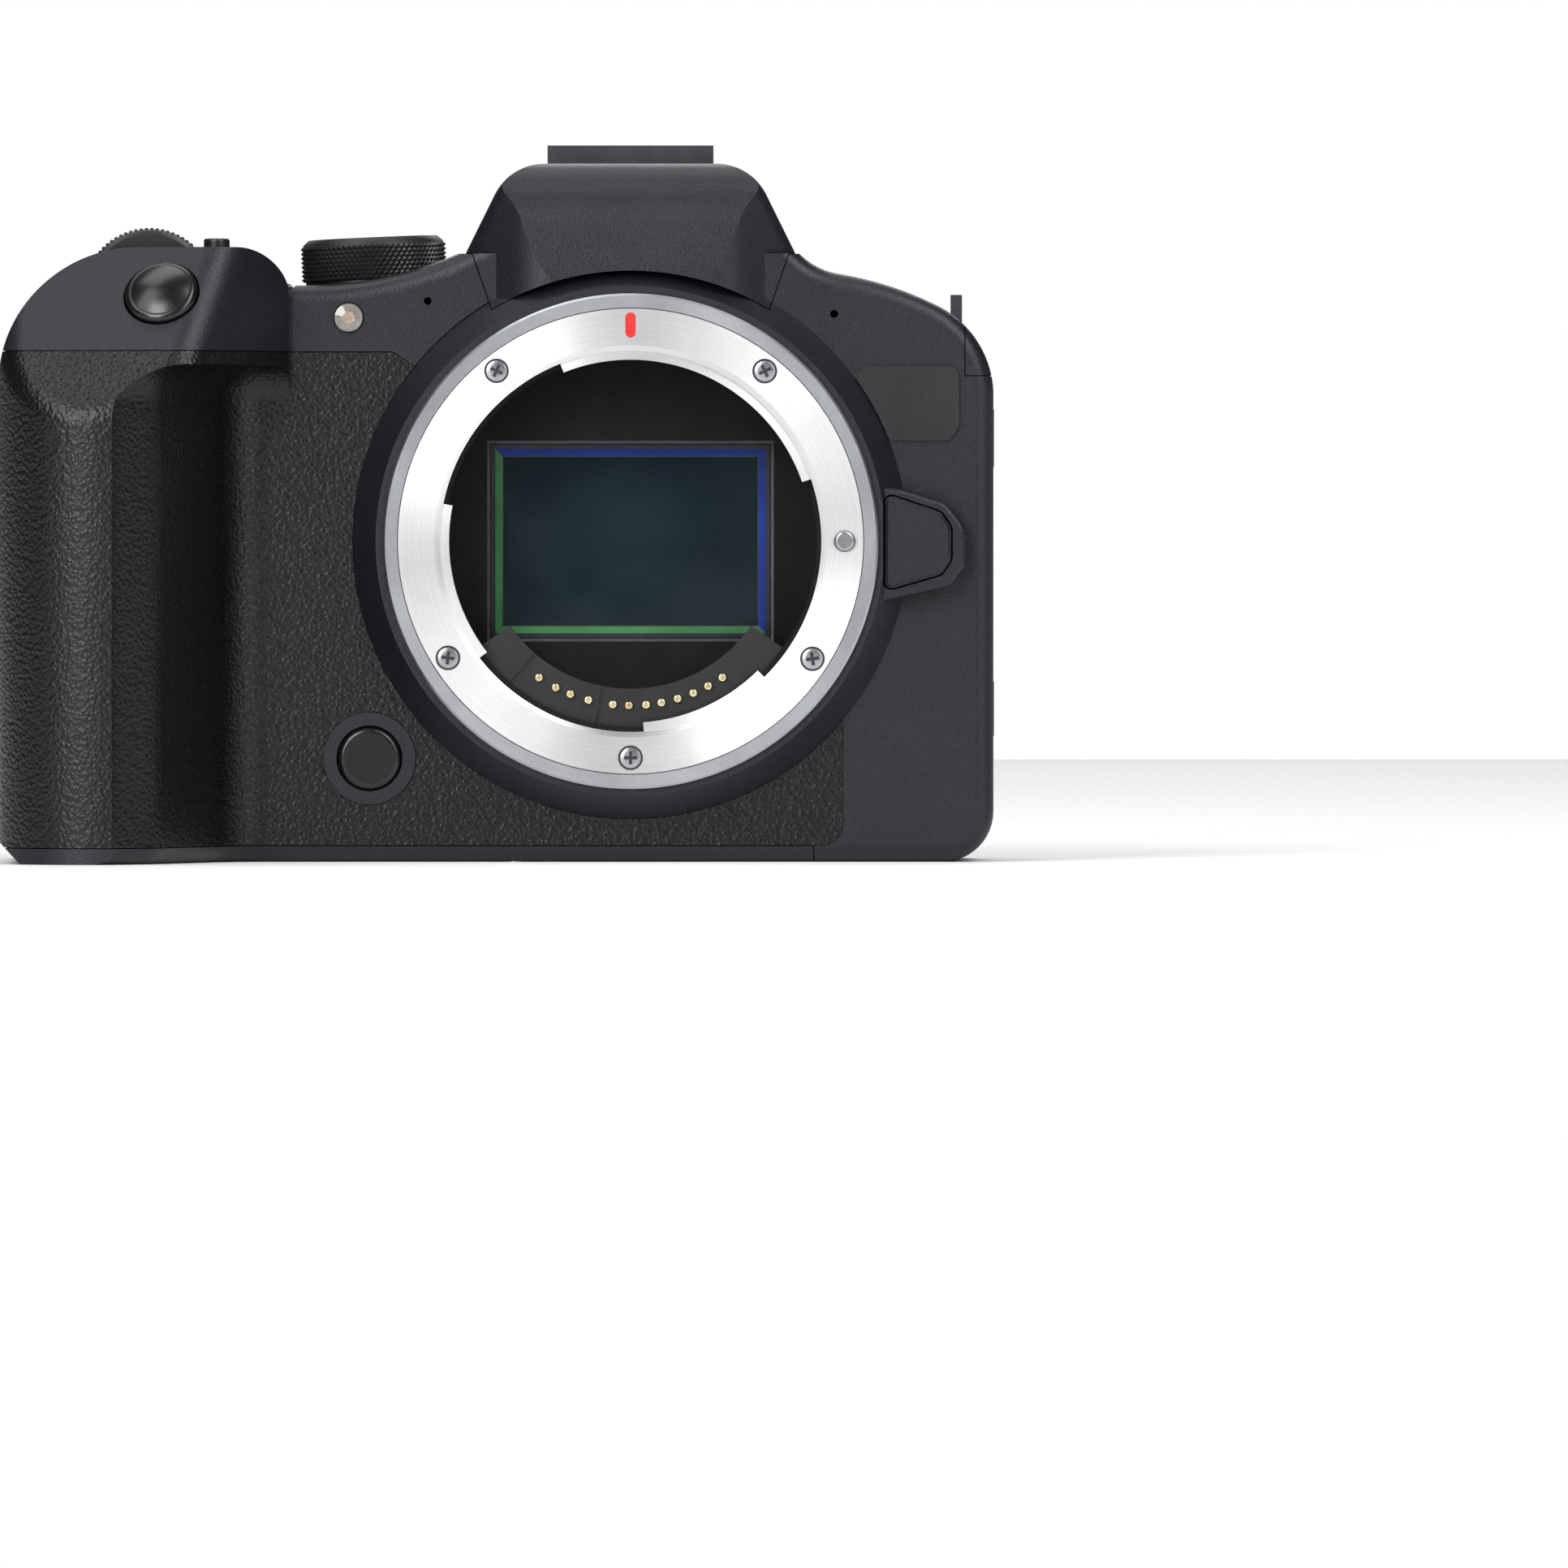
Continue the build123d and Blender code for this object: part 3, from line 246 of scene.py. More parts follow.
def turnedSteel(look):
    # stainless steel face, circular-brushed on a lathe: light streaks along the radius of each point
    # the real grooves are finer than 0.1 mm and are drawn coarser, so that they show
    material, tree, shader, place = startMaterial("stainlessSteel", {
        "Metallic": 1.0, "Anisotropic": look["anisotropic"],
    })
    fromAxis = addNode(tree, "ShaderNodeVectorMath", {"operation": "SUBTRACT", 1: lensCentre}, {0: place})
    flat = addNode(tree, "ShaderNodeVectorMath", {"operation": "MULTIPLY", 1: (1, 0, 1)},
                   {0: fromAxis.outputs[0]})
    radial = addNode(tree, "ShaderNodeVectorMath", {"operation": "NORMALIZE"}, {0: flat.outputs[0]})
    radius = addNode(tree, "ShaderNodeVectorMath", {"operation": "LENGTH"}, {0: flat.outputs[0]})
    grooves = addNode(tree, "ShaderNodeTexNoise",
                      {"noise_dimensions": "1D", "Scale": 1 / (look["grooveSize"] * mm), "Detail": 3.0},
                      {"W": radius.outputs["Value"]})
    cloud = addNode(tree, "ShaderNodeTexNoise", {"Scale": 1 / (look["cloudSize"] * mm), "Detail": 2.0},
                    {"Vector": place})
    both = addNode(tree, "ShaderNodeMix", {"data_type": "FLOAT", 0: 0.5},
                   {2: grooves.outputs["Fac"], 3: cloud.outputs["Fac"]})
    colours = addNode(tree, "ShaderNodeValToRGB", {"stops": ((0.35, look["dark"]), (0.65, look["light"]))},
                      {"Fac": both.outputs[0]})
    low, high = look["roughness"]
    gloss = addNode(tree, "ShaderNodeMapRange",
                    {"From Min": 0.3, "From Max": 0.7, "To Min": low, "To Max": high},
                    {"Value": both.outputs[0]})
    relief = addNode(tree, "ShaderNodeBump", {"Strength": 1.0, "Distance": look["relief"] * mm},
                     {"Height": grooves.outputs["Fac"]})
    driveShader(tree, shader, colours, gloss, relief)
    tree.links.new(radial.outputs[0], shader.inputs["Tangent"])
    return material


stainlessSteel = turnedSteel({
    "dark": "#ececec", "light": "#fbfbfb", "grooveSize": 0.22, "cloudSize": 9, "relief": 0.0015,
    "roughness": (0.45, 0.52), "anisotropic": 0.9,
})


def tintedGlass(name, look):
    # glass, clear plastic or a coated filter: a smooth deep surface with a faint smear in its gloss
    material, tree, shader, place = startMaterial(name, {
        "IOR": look["ior"], "Coat Weight": look["coat"], "Coat Roughness": 0.03,
    })
    smear = addNode(tree, "ShaderNodeTexNoise", {"Scale": 1 / (look["smearSize"] * mm), "Detail": 3.0},
                    {"Vector": place})
    colours = addNode(tree, "ShaderNodeValToRGB", {"stops": ((0.3, look["dark"]), (0.7, look["light"]))},
                      {"Fac": smear.outputs["Fac"]})
    low, high = look["roughness"]
    gloss = addNode(tree, "ShaderNodeMapRange",
                    {"From Min": 0.3, "From Max": 0.7, "To Min": low, "To Max": high},
                    {"Value": smear.outputs["Fac"]})
    driveShader(tree, shader, colours, gloss)
    return material


# polished cover glass over the image sensor: deep blue-green
sensorGlass = tintedGlass("sensorGlass", {
    "dark": "#14242a", "light": "#192b31", "smearSize": 14,
    "roughness": (0.08, 0.14), "ior": 1.5, "coat": 0.2,
})
# painted reflection: the colours an interference coating reflects at the filter's bevelled edge, painted fixed,
# blue on two sides, green on the others
filterBlue = tintedGlass("filterBlue", {
    "dark": "#142c80", "light": "#1b3da4", "smearSize": 9,
    "roughness": (0.35, 0.45), "ior": 1.3, "coat": 0.0,
})
filterGreen = tintedGlass("filterGreen", {
    "dark": "#3a7343", "light": "#4d8f57", "smearSize": 9,
    "roughness": (0.35, 0.45), "ior": 1.3, "coat": 0.0,
})
# blackened glass border round the coating
filterRim = tintedGlass("filterRim", {
    "dark": "#1d2026", "light": "#2b2f37", "smearSize": 9,
    "roughness": (0.3, 0.4), "ior": 1.5, "coat": 0.0,
})
# hardened glass of the rear screen, printed black behind: a sharp mirror
screenGlass = tintedGlass("screenGlass", {
    "dark": "#050506", "light": "#09090a", "smearSize": 22,
    "roughness": (0.04, 0.09), "ior": 1.52, "coat": 0.4,
})
# the display behind that glass, switched off: a shade greyer than its border
screenPanel = tintedGlass("screenPanel", {
    "dark": "#101114", "light": "#15161a", "smearSize": 22,
    "roughness": (0.1, 0.16), "ior": 1.52, "coat": 0.4,
})
# coated eyepiece lens: dark, with a violet tint
viewGlass = tintedGlass("viewGlass", {
    "dark": "#0f0d16", "light": "#1a1524", "smearSize": 10,
    "roughness": (0.02, 0.06), "ior": 1.6, "coat": 0.8,
})
# clear acrylic of the focus-assist lamp, moulded in facets
lampGlass = tintedGlass("lampGlass", {
    "dark": "#6d6a66", "light": "#8d8982", "smearSize": 1.5,
    "roughness": (0.08, 0.16), "ior": 1.49, "coat": 0.5,
})
# the same acrylic over the lamp's warm emitter
lampAmber = tintedGlass("lampAmber", {
    "dark": "#8c7c6c", "light": "#b7a48c", "smearSize": 1.0,
    "roughness": (0.15, 0.25), "ior": 1.49, "coat": 0.5,
})

slotMaterials = {
    "painted_magnesium": paintedMagnesium, "leatherette": leatherette, "moulded_rubber": mouldedRubber,
    "stainless_steel": stainlessSteel, "steel_screw": steelScrew, "anodised_aluminium": anodisedAluminium,
    "black_plastic": blackPlastic, "gloss_plastic": glossPlastic, "chassis_alloy": chassisAlloy,
    "gold_contact": goldContact, "circuit_board": circuitBoard, "sensor_glass": sensorGlass,
    "clear_glass": viewGlass, "blade_metal": bladeMetal, "battery_case": batteryCase,
}
nodeMaterials = {
    "light_baffle": lightTrap, "hot_shoe": blackenedSteelAndShade, "strap_lugs": blackenedSteelAndShade,
    "badge_plate": blackPlastic,
}
for part in frame["record"]["subparts"]:
    for slot in frame["nodes"][part["node"]].material_slots:
        slot.material = nodeMaterials.get(part["node"], slotMaterials[part["material_slot"]])
print("materials on", len(frame["nodes"]), "nodes")


def keepPiece(shape, name, body, materials, stands=(), sharp=32):
    # makes the finished object; stands lists the CAD nodes it is seen instead of
    bmesh.ops.recalc_face_normals(shape, faces=shape.faces[:])
    mesh = bpy.data.meshes.new(name)
    shape.to_mesh(mesh)
    shape.free()
    for face in mesh.polygons:
        face.use_smooth = True
    mesh.set_sharp_from_angle(angle=math.radians(sharp))
    piece = bpy.data.objects.new(name, mesh)
    bpy.context.scene.collection.objects.link(piece)
    for material in materials:
        mesh.materials.append(material)
    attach(piece, body)
    if stands:
        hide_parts(*stands)
    return piece


def addBlock(shape, centre, size, radius=0, axis=zAxis, segments=4):
    # a box in mm; the edges that run along axis are rounded to radius
    made = bmesh.ops.create_cube(shape, size=1)["verts"]
    bmesh.ops.scale(shape, vec=Vector(size) * mm, verts=made)
    bmesh.ops.translate(shape, vec=Vector(centre) * mm, verts=made)
    if radius:
        edges = {edge for vert in made for edge in vert.link_edges}
        along = [edge for edge in edges
                 if abs((edge.verts[0].co - edge.verts[1].co).normalized().dot(axis)) > 0.9]
        bmesh.ops.bevel(shape, geom=along, offset=radius * mm, affect="EDGES", segments=segments,
                        profile=0.5, material=-1)
    return made


def turnTo(direction):
    return Vector(direction).to_track_quat("Z", "Y").to_matrix().to_4x4()


def addDisc(shape, centre, direction, radius, height, segments=32):
    # a plain drum in mm from centre, standing along direction
    place = Matrix.Translation(Vector(centre) * mm) @ turnTo(direction)
    place = place @ Matrix.Translation((0, 0, height * mm / 2))
    return bmesh.ops.create_cone(shape, cap_ends=True, segments=segments, radius1=radius * mm,
                                 radius2=radius * mm, depth=height * mm, matrix=place)["verts"]


def facesTowards(faces, direction):
    return [face for face in faces if face.normal.dot(direction) > 0.99]


def insetSteps(shape, faces, steps):
    # each step is the width of a border and how far it rises, mm
    for thickness, depth in steps:
        bmesh.ops.inset_region(shape, faces=faces, thickness=thickness * mm, depth=depth * mm,
                               use_even_offset=True)


ridgeShare = 0.36  # of a tooth's width, on either side of its crest


def knurledDrum(look):
    # rows of quads turned up from a ring; each quad is then raised into a diamond or a ridge
    shape = bmesh.new()
    low = look["radius"] - look["relief"]
    bmesh.ops.create_circle(shape, cap_ends=False, segments=look["count"], radius=low * mm)
    lowest = shape.edges[:]
    edges = lowest
    for row in range(look["rows"]):
        grown = bmesh.ops.extrude_edge_only(shape, edges=edges)["geom"]
        verts = [item for item in grown if isinstance(item, bmesh.types.BMVert)]
        edges = [item for item in grown if isinstance(item, bmesh.types.BMEdge) and item.is_boundary]
        bmesh.ops.translate(shape, verts=verts, vec=(0, 0, look["height"] / look["rows"] * mm))
        bmesh.ops.rotate(shape, verts=verts, cent=(0, 0, 0),
                         matrix=Matrix.Rotation(look["twist"] * math.pi / look["count"], 3, "Z"))
    sides = shape.faces[:]
    top = bmesh.ops.contextual_create(shape, geom=edges)["faces"]
    bmesh.ops.contextual_create(shape, geom=lowest)
    bmesh.ops.recalc_face_normals(shape, faces=shape.faces[:])
    if look["pattern"] == "diamond":
        bmesh.ops.poke(shape, faces=sides, offset=look["relief"] * mm, center_mode="MEAN")
    else:
        width = 2 * math.pi * low / look["count"]
        bmesh.ops.inset_individual(shape, faces=sides, thickness=ridgeShare * width * mm,
                                   depth=look["relief"] * mm, use_even_offset=True)
    insetSteps(shape, top, look["crown"])
    return shape


def placeDrum(shape, centre, direction):
    bmesh.ops.transform(shape, matrix=Matrix.Translation(centre) @ turnTo(direction), verts=shape.verts[:])


jointAxes = {joint["child"]: (Vector(joint["pos_m"]), Vector(joint["axis"]))
             for joint in frame["joints"] if joint["type"] == "hinge"}

# sizes of the pieces are in mm
modeDial = {
    "radius": 10.2, "height": 4.9, "count": 76, "rows": 8, "twist": 1.0, "relief": 0.34, "pattern": "diamond",
    "crown": ((0.15, 0.3), (0.75, 0.65), (1.0, 0.0), (0.12, -0.18)),
    "skirt": 0.9, "skirtRadius": 9.6, "skirtOverlap": 0.35, "skirtSegments": 60,
    "figures": 8, "figureSize": 2.5, "figureRing": 6.2, "ink": 0.01, "figureSteps": 3,
}


def makeModeDial():
    centre, direction = jointAxes["mode_selector"]
    shape = knurledDrum(modeDial)
    addDisc(shape, (0, 0, modeDial["skirtOverlap"] - modeDial["skirt"]), zAxis, modeDial["skirtRadius"],
            modeDial["skirt"], modeDial["skirtSegments"])
    placeDrum(shape, centre + direction * modeDial["skirt"] * mm, direction)
    keepPiece(shape, "modeDialCap", "mode_selector", [blackPlastic], ["mode_dial"])
    crownHeight = sum(depth for _, depth in modeDial["crown"])
    lift = modeDial["skirt"] + modeDial["height"] + crownHeight
    turn = Matrix.Translation(centre) @ turnTo(direction)
    marks = bmesh.new()
    for index in range(modeDial["figures"]):
        text = bpy.data.curves.new("figure", "FONT")
        text.body = str(index + 1)
        text.size = modeDial["figureSize"] * mm
        text.align_x = "CENTER"
        text.align_y = "CENTER"
        text.extrude = modeDial["ink"] * mm
        text.resolution_u = modeDial["figureSteps"]
        carrier = bpy.data.objects.new("figure", text)
        mesh = bpy.data.meshes.new_from_object(carrier)
        bpy.data.objects.remove(carrier)
        angle = 2 * math.pi * index / modeDial["figures"]
        mesh.transform(turn @ Matrix.Rotation(angle, 4, "Z")
                       @ Matrix.Translation((0, modeDial["figureRing"] * mm, (lift + modeDial["ink"]) * mm)))
        marks.from_mesh(mesh)
        bpy.data.meshes.remove(mesh)
    keepPiece(marks, "modeDialFigures", "mode_selector", [printedInk])


makeModeDial()

frontDial = {
    "radius": 9.2, "height": 4.6, "count": 76, "rows": 1, "twist": 0, "relief": 0.3, "pattern": "ridge",
    "crown": ((0.1, 0.35), (0.5, 0.35), (5.5, 0.0)),
    "axleStart": -3.2, "axleRadius": 1.4, "axleLength": 10.8, "axleSegments": 24,
}


def makeFrontDial():
    centre, direction = jointAxes["front_dial"]
    shape = knurledDrum(frontDial)
    insetSteps(shape, facesTowards(shape.faces, -zAxis), frontDial["crown"])
    addDisc(shape, (0, 0, frontDial["axleStart"]), zAxis, frontDial["axleRadius"], frontDial["axleLength"],
            frontDial["axleSegments"])
    bmesh.ops.translate(shape, verts=shape.verts[:], vec=(0, 0, -frontDial["height"] / 2 * mm))
    placeDrum(shape, centre, direction)
    keepPiece(shape, "frontDialRim", "front_dial", [blackPlastic], ["main_dial"])


makeFrontDial()

rearTopDial = {
    "radius": 8.0, "height": 3.6, "count": 60, "rows": 1, "twist": 0, "relief": 0.32, "pattern": "ridge",
    "crown": ((0.1, 0.3), (0.55, 0.35), (1.6, 0.05), (0.2, -0.25)),
    "axleStart": -4.3, "axleRadius": 2.0, "axleLength": 4.4, "axleSegments": 24,
}


def makeRearTopDial():
    centre, direction = jointAxes["rear_top_dial"]
    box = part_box("top_dial")
    shape = knurledDrum(rearTopDial)
    addDisc(shape, (0, 0, rearTopDial["axleStart"]), zAxis, rearTopDial["axleRadius"],
            rearTopDial["axleLength"], rearTopDial["axleSegments"])
    low = box[1].z - sum(depth for _, depth in rearTopDial["crown"][:3]) * mm - rearTopDial["height"] * mm
    placeDrum(shape, Vector((centre.x, centre.y, low)), direction)
    keepPiece(shape, "rearDialRim", "rear_top_dial", [blackPlastic], ["top_dial"])


makeRearTopDial()

quickWheel = {
    # radius and height above the seat, mm, from the finger hole outwards
    "section": ((5.45, 0.3), (5.45, 1.9), (5.9, 2.3), (8.2, 2.45), (10.2, 2.7), (11.3, 3.15), (11.9, 3.1),
                (12.2, 2.6), (12.2, 0.3)),
    "steps": 90, "ridgeInset": 0.12, "ridge": 0.28,
    "ridgedFrom": (10.6, 2.6),  # radius and height past which every other face is sunk
}


def makeWheel():
    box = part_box("rear_wheel")
    centre, direction = jointAxes["wheel"]
    radius, height = quickWheel["ridgedFrom"]
    shape = bmesh.new()
    corners = [shape.verts.new((away * mm, 0, up * mm)) for away, up in quickWheel["section"]]
    edges = [shape.edges.new(pair) for pair in zip(corners, corners[1:] + corners[:1])]
    bmesh.ops.spin(shape, geom=corners + edges, cent=(0, 0, 0), axis=zAxis, angle=2 * math.pi,
                   steps=quickWheel["steps"], use_merge=True)
    bmesh.ops.remove_doubles(shape, verts=shape.verts[:], dist=0.001 * mm)
    bmesh.ops.recalc_face_normals(shape, faces=shape.faces[:])
    rims = []
    for face in shape.faces:
        middle = face.calc_center_median()
        step = int((math.atan2(middle.y, middle.x) + math.pi) / (2 * math.pi) * quickWheel["steps"])
        if middle.xy.length > radius * mm and middle.z > height * mm and step % 2 == 0:
            rims.append(face)
    bmesh.ops.inset_individual(shape, faces=rims, thickness=quickWheel["ridgeInset"] * mm,
                               depth=-quickWheel["ridge"] * mm)
    placeDrum(shape, Vector((centre.x, box[0].y, centre.z)), direction)
    keepPiece(shape, "quickWheelRing", "wheel", [blackPlastic], ["rear_wheel"])


makeWheel()

indexMark = {"ring": 30.0, "width": 1.45, "length": 3.5, "proud": 0.02, "thick": 0.1, "corner": 0.7}


def makeIndexMark():
    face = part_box("lens_mount_ring")[0].y / mm
    shape = bmesh.new()
    addBlock(shape, (lensCentre.x / mm, face + indexMark["thick"] / 2 - indexMark["proud"],
                     lensCentre.z / mm + indexMark["ring"]),
             (indexMark["width"], indexMark["thick"], indexMark["length"]), indexMark["corner"], yAxis, 6)
    keepPiece(shape, "indexBar", "camera", [indexEnamel])


makeIndexMark()

mountScrew = {
    "ring": 30.07, "angles": (51.7, 128.2, 212.6, 270.0, 327.1),
    "head": 1.42, "depth": 0.9, "crown": 0.12, "crownSteps": ((0.3, 0.09), (0.3, 0.03)), "segments": 40,
    "cross": 1.8, "slot": 0.44, "deep": 0.35, "turn": 3,  # each cross stands at its own angle
    "shadowRing": 1.71, "shadowRingDepth": 0.7, "shadowRingHeight": 0.45,  # a dark disc round each head: painted shadow in the gap round it
    "shadeFrom": 0.06, "slotFloorShade": (0.3, 0.4),
}


def cutShape(shape, cutter):
    # the first bmesh less the second, as a new bmesh
    made = []
    for part, name in ((shape, "heads"), (cutter, "crosses")):
        bmesh.ops.recalc_face_normals(part, faces=part.faces[:])
        mesh = bpy.data.meshes.new(name)
        part.to_mesh(mesh)
        part.free()
        made.append(bpy.data.objects.new(name, mesh))
        bpy.context.scene.collection.objects.link(made[-1])
    bpy.context.view_layer.update()
    cut = made[0].modifiers.new("cut", "BOOLEAN")
    cut.object = made[1]
    cut.operation = "DIFFERENCE"
    cut.solver = "EXACT"
    cut.use_self = True
    result = bpy.data.meshes.new_from_object(made[0].evaluated_get(bpy.context.evaluated_depsgraph_get()))
    for carrier in made:
        bpy.data.objects.remove(carrier)
    left = bmesh.new()
    left.from_mesh(result)
    return left


def makeMountScrews():
    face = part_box("lens_mount_ring")[0].y / mm
    places = []
    for angle in mountScrew["angles"]:
        turn = math.radians(angle)
        places.append((angle, lensCentre.x / mm + mountScrew["ring"] * math.cos(turn),
                       lensCentre.z / mm + mountScrew["ring"] * math.sin(turn)))
    heads = bmesh.new()
    crosses = bmesh.new()
    for angle, x, z in places:
        verts = addDisc(heads, (x, face + mountScrew["depth"], z), -yAxis, mountScrew["head"],
                        mountScrew["depth"] - mountScrew["crown"], mountScrew["segments"])
        front = facesTowards({side for vert in verts for side in vert.link_faces}, -yAxis)
        for thickness, depth in mountScrew["crownSteps"]:
            bmesh.ops.inset_region(heads, faces=front, thickness=thickness * mm, depth=depth * mm)
        reach = mountScrew["cross"]
        for size in ((reach, 2 * mountScrew["deep"], mountScrew["slot"]),
                     (mountScrew["slot"], 2 * mountScrew["deep"], reach)):
            verts = addBlock(crosses, (x, face, z), size)
            bmesh.ops.rotate(crosses, verts=verts, cent=Vector((x, face, z)) * mm,
                             matrix=Matrix.Rotation(math.radians(angle * mountScrew["turn"]), 3, "Y"))
    shape = cutShape(heads, crosses)
    low, high = mountScrew["slotFloorShade"]
    for side in shape.faces:
        sunk = side.calc_center_median().y / mm - face
        if sunk > mountScrew["shadeFrom"] and abs(side.normal.y) < 0.5 or low < sunk < high:
            side.material_index = 1  # painted shade: the slots, their floors and the flanks get the dark steel, standing in for the shade in the recesses
    # painted shadow: a dark disc sunk round each head stands in for the shade in the gap
    for _, x, z in places:
        shadowRing = set(addDisc(shape, (x, face + mountScrew["shadowRingDepth"], z), -yAxis, mountScrew["shadowRing"],
                           mountScrew["shadowRingHeight"], mountScrew["segments"]))
        for side in shape.faces:
            if shadowRing.issuperset(side.verts):
                side.material_index = 1
    keepPiece(shape, "mountScrewHeads", "camera", [steelScrew, blackenedSteelAndShade], ["mount_screws"])


makeMountScrews()

imageSensor = {
    "rim": 0.9, "edge": 1.35, "edgeDepth": -0.25, "active": 0.25,
    "blueShare": 0.6,  # the blue edge takes the top from this share of its reach sideways
}


def makeSensor():
    low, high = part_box("sensor_chip")
    shape = bmesh.new()
    addBlock(shape, (low + high) / 2 / mm, (high - low) / mm)
    front = facesTowards(shape.faces, -yAxis)
    bmesh.ops.inset_region(shape, faces=front, thickness=imageSensor["rim"] * mm, depth=0)
    bands = bmesh.ops.inset_region(shape, faces=front, thickness=imageSensor["edge"] * mm,
                                   depth=imageSensor["edgeDepth"] * mm)["faces"]
    lip = bmesh.ops.inset_region(shape, faces=front, thickness=imageSensor["active"] * mm, depth=0)["faces"]
    for face in shape.faces:
        face.material_index = 3  # the rim, then the coloured edges, then the clear middle
    middle = (low + high) / 2
    # painted reflection: each side of the bevelled edge gets its own fixed coating colour
    for face in bands:
        away = face.calc_center_median() - middle
        blue = away.x > abs(away.z) or away.z > abs(away.x) * imageSensor["blueShare"]
        face.material_index = 1 if blue else 2
    for face in lip:
        face.material_index = 3
    for face in front:
        face.material_index = 0
    keepPiece(shape, "sensorFilter", "sensor",
              [sensorGlass, filterBlue, filterGreen, filterRim], ["sensor_chip"])


makeSensor()

screen = {
    "x": (-27.3, 41.3), "z": (7.7, 55.3), "thick": 0.2, "corner": 1.2, "sunk": 0.05,
    "border": 2.2, "lift": 0.01,  # the lit panel shows as a second plate, a hair above the first
}


def makeScreen():
    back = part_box("lcd_panel")[1].y / mm - screen["sunk"]
    width = screen["x"][1] - screen["x"][0]
    height = screen["z"][1] - screen["z"][0]
    centre = (sum(screen["x"]) / 2, back - screen["thick"] / 2, sum(screen["z"]) / 2)
    shape = bmesh.new()
    addBlock(shape, centre, (width, screen["thick"], height), screen["corner"], yAxis, 6)
    shown = set(addBlock(shape, (centre[0], back, centre[2]),
                         (width - 2 * screen["border"], 2 * screen["lift"], height - 2 * screen["border"])))
    for face in shape.faces:
        if shown.issuperset(face.verts):
            face.material_index = 1
    keepPiece(shape, "screenWindow", "screen", [screenGlass, screenPanel])


makeScreen()

buttonDome = {"inset": 0.25, "rise": 0.75, "rings": 8, "segments": 64, "sink": 0.2, "flatness": 0.02}


def makeButtonDome():
    # a shallow glossy dome over the flat of the shutter button
    node = frame["nodes"]["shutter_button"]
    direction = next(Vector(joint["axis"]) for joint in frame["joints"] if joint["child"] == "shutter_key")
    if direction.z < 0:
        direction = -direction
    points = [node.matrix_world @ vert.co for vert in node.data.vertices]
    height = max(point.dot(direction) for point in points)
    rim = [point for point in points if point.dot(direction) > height - buttonDome["flatness"] * mm]
    centre = sum(rim, Vector()) / len(rim)
    radius = max((point - centre).length for point in rim) - buttonDome["inset"] * mm
    print("button dome radius", round(radius / mm, 2), "at", [round(value / mm, 1) for value in centre])
    rise = buttonDome["rise"] * mm
    ball = (radius * radius + rise * rise) / (2 * rise)
    shape = bmesh.new()
    corners = [shape.verts.new((0, 0, rise))]
    for ring in range(1, buttonDome["rings"] + 1):
        away = radius * ring / buttonDome["rings"]
        corners.append(shape.verts.new((away, 0, rise - ball + math.sqrt(ball * ball - away * away))))
    corners.append(shape.verts.new((radius, 0, -buttonDome["sink"] * mm)))
    edges = [shape.edges.new(pair) for pair in zip(corners, corners[1:])]
    bmesh.ops.spin(shape, geom=corners + edges, cent=(0, 0, 0), axis=zAxis, angle=2 * math.pi,
                   steps=buttonDome["segments"], use_merge=True)
    bmesh.ops.remove_doubles(shape, verts=shape.verts[:], dist=0.001 * mm)
    bmesh.ops.contextual_create(shape, geom=[edge for edge in shape.edges if edge.is_boundary])
    placeDrum(shape, centre, direction)
    keepPiece(shape, "shutterDome", "shutter_key", [glossPlastic])


makeButtonDome()

beamLamp = {"sides": 28, "wall": 0.16, "sink": -0.18, "slope": 1.1, "rise": 0.28, "apex": 0.16, "sharp": 4}


def makeLamp():
    low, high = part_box("af_lamp")
    middle = (low + high) / 2 / mm
    radius = (high.x - low.x) / 2 / mm
    shape = bmesh.new()
    addDisc(shape, (middle.x, high.y / mm, middle.z), -yAxis, radius, (high.y - low.y) / mm, beamLamp["sides"])
    front = facesTowards(shape.faces, -yAxis)
    bmesh.ops.inset_region(shape, faces=front, thickness=beamLamp["wall"] * mm, depth=beamLamp["sink"] * mm)
    facets = bmesh.ops.inset_region(shape, faces=front, thickness=beamLamp["slope"] * mm,
                                    depth=beamLamp["rise"] * mm)["faces"]
    for face in facets:
        face.material_index = 1
    centre = bmesh.ops.poke(shape, faces=front, offset=-beamLamp["apex"] * mm, center_mode="MEAN")["faces"]
    for face in centre:
        face.material_index = 2
    keepPiece(shape, "beamLampLens", "camera", [blackPlastic, lampGlass, lampAmber],
              ["af_lamp"], beamLamp["sharp"])


makeLamp()

shoeContacts = {
    "row": ((-4.6, 9.5), (-1.6, 9.5), (1.6, 9.5), (4.6, 9.5), (0.0, 14.2)), "radius": 0.85, "proud": 0.12,
    "floor": 96.97,  # height of the shoe's floor
    "combTeeth": 21, "combStart": -6, "combPitch": 0.6, "combPlace": 5.2, "tooth": (0.3, 2.2),
}


def makeShoeContacts():
    floor = shoeContacts["floor"]
    proud = shoeContacts["proud"]
    shape = bmesh.new()
    for x, y in shoeContacts["row"]:
        addDisc(shape, (x, y, floor), zAxis, shoeContacts["radius"], proud, 24)
    for step in range(shoeContacts["combTeeth"]):
        x = shoeContacts["combStart"] + shoeContacts["combPitch"] * step
        addBlock(shape, (x, shoeContacts["combPlace"], floor + proud / 2), (*shoeContacts["tooth"], proud))
    keepPiece(shape, "shoeContactPads", "camera", [goldContact])


makeShoeContacts()

seamShadeStrip = {
    "x": (-23.2, 23.2), "y": (5.2, 5.8), "z": (60, 83.4), "corner": 0.6,
    "tabPlace": (21.3, 5.5, 83.4), "tab": (2.6, 0.6, 2.4),  # a tab at either end, mirrored
}


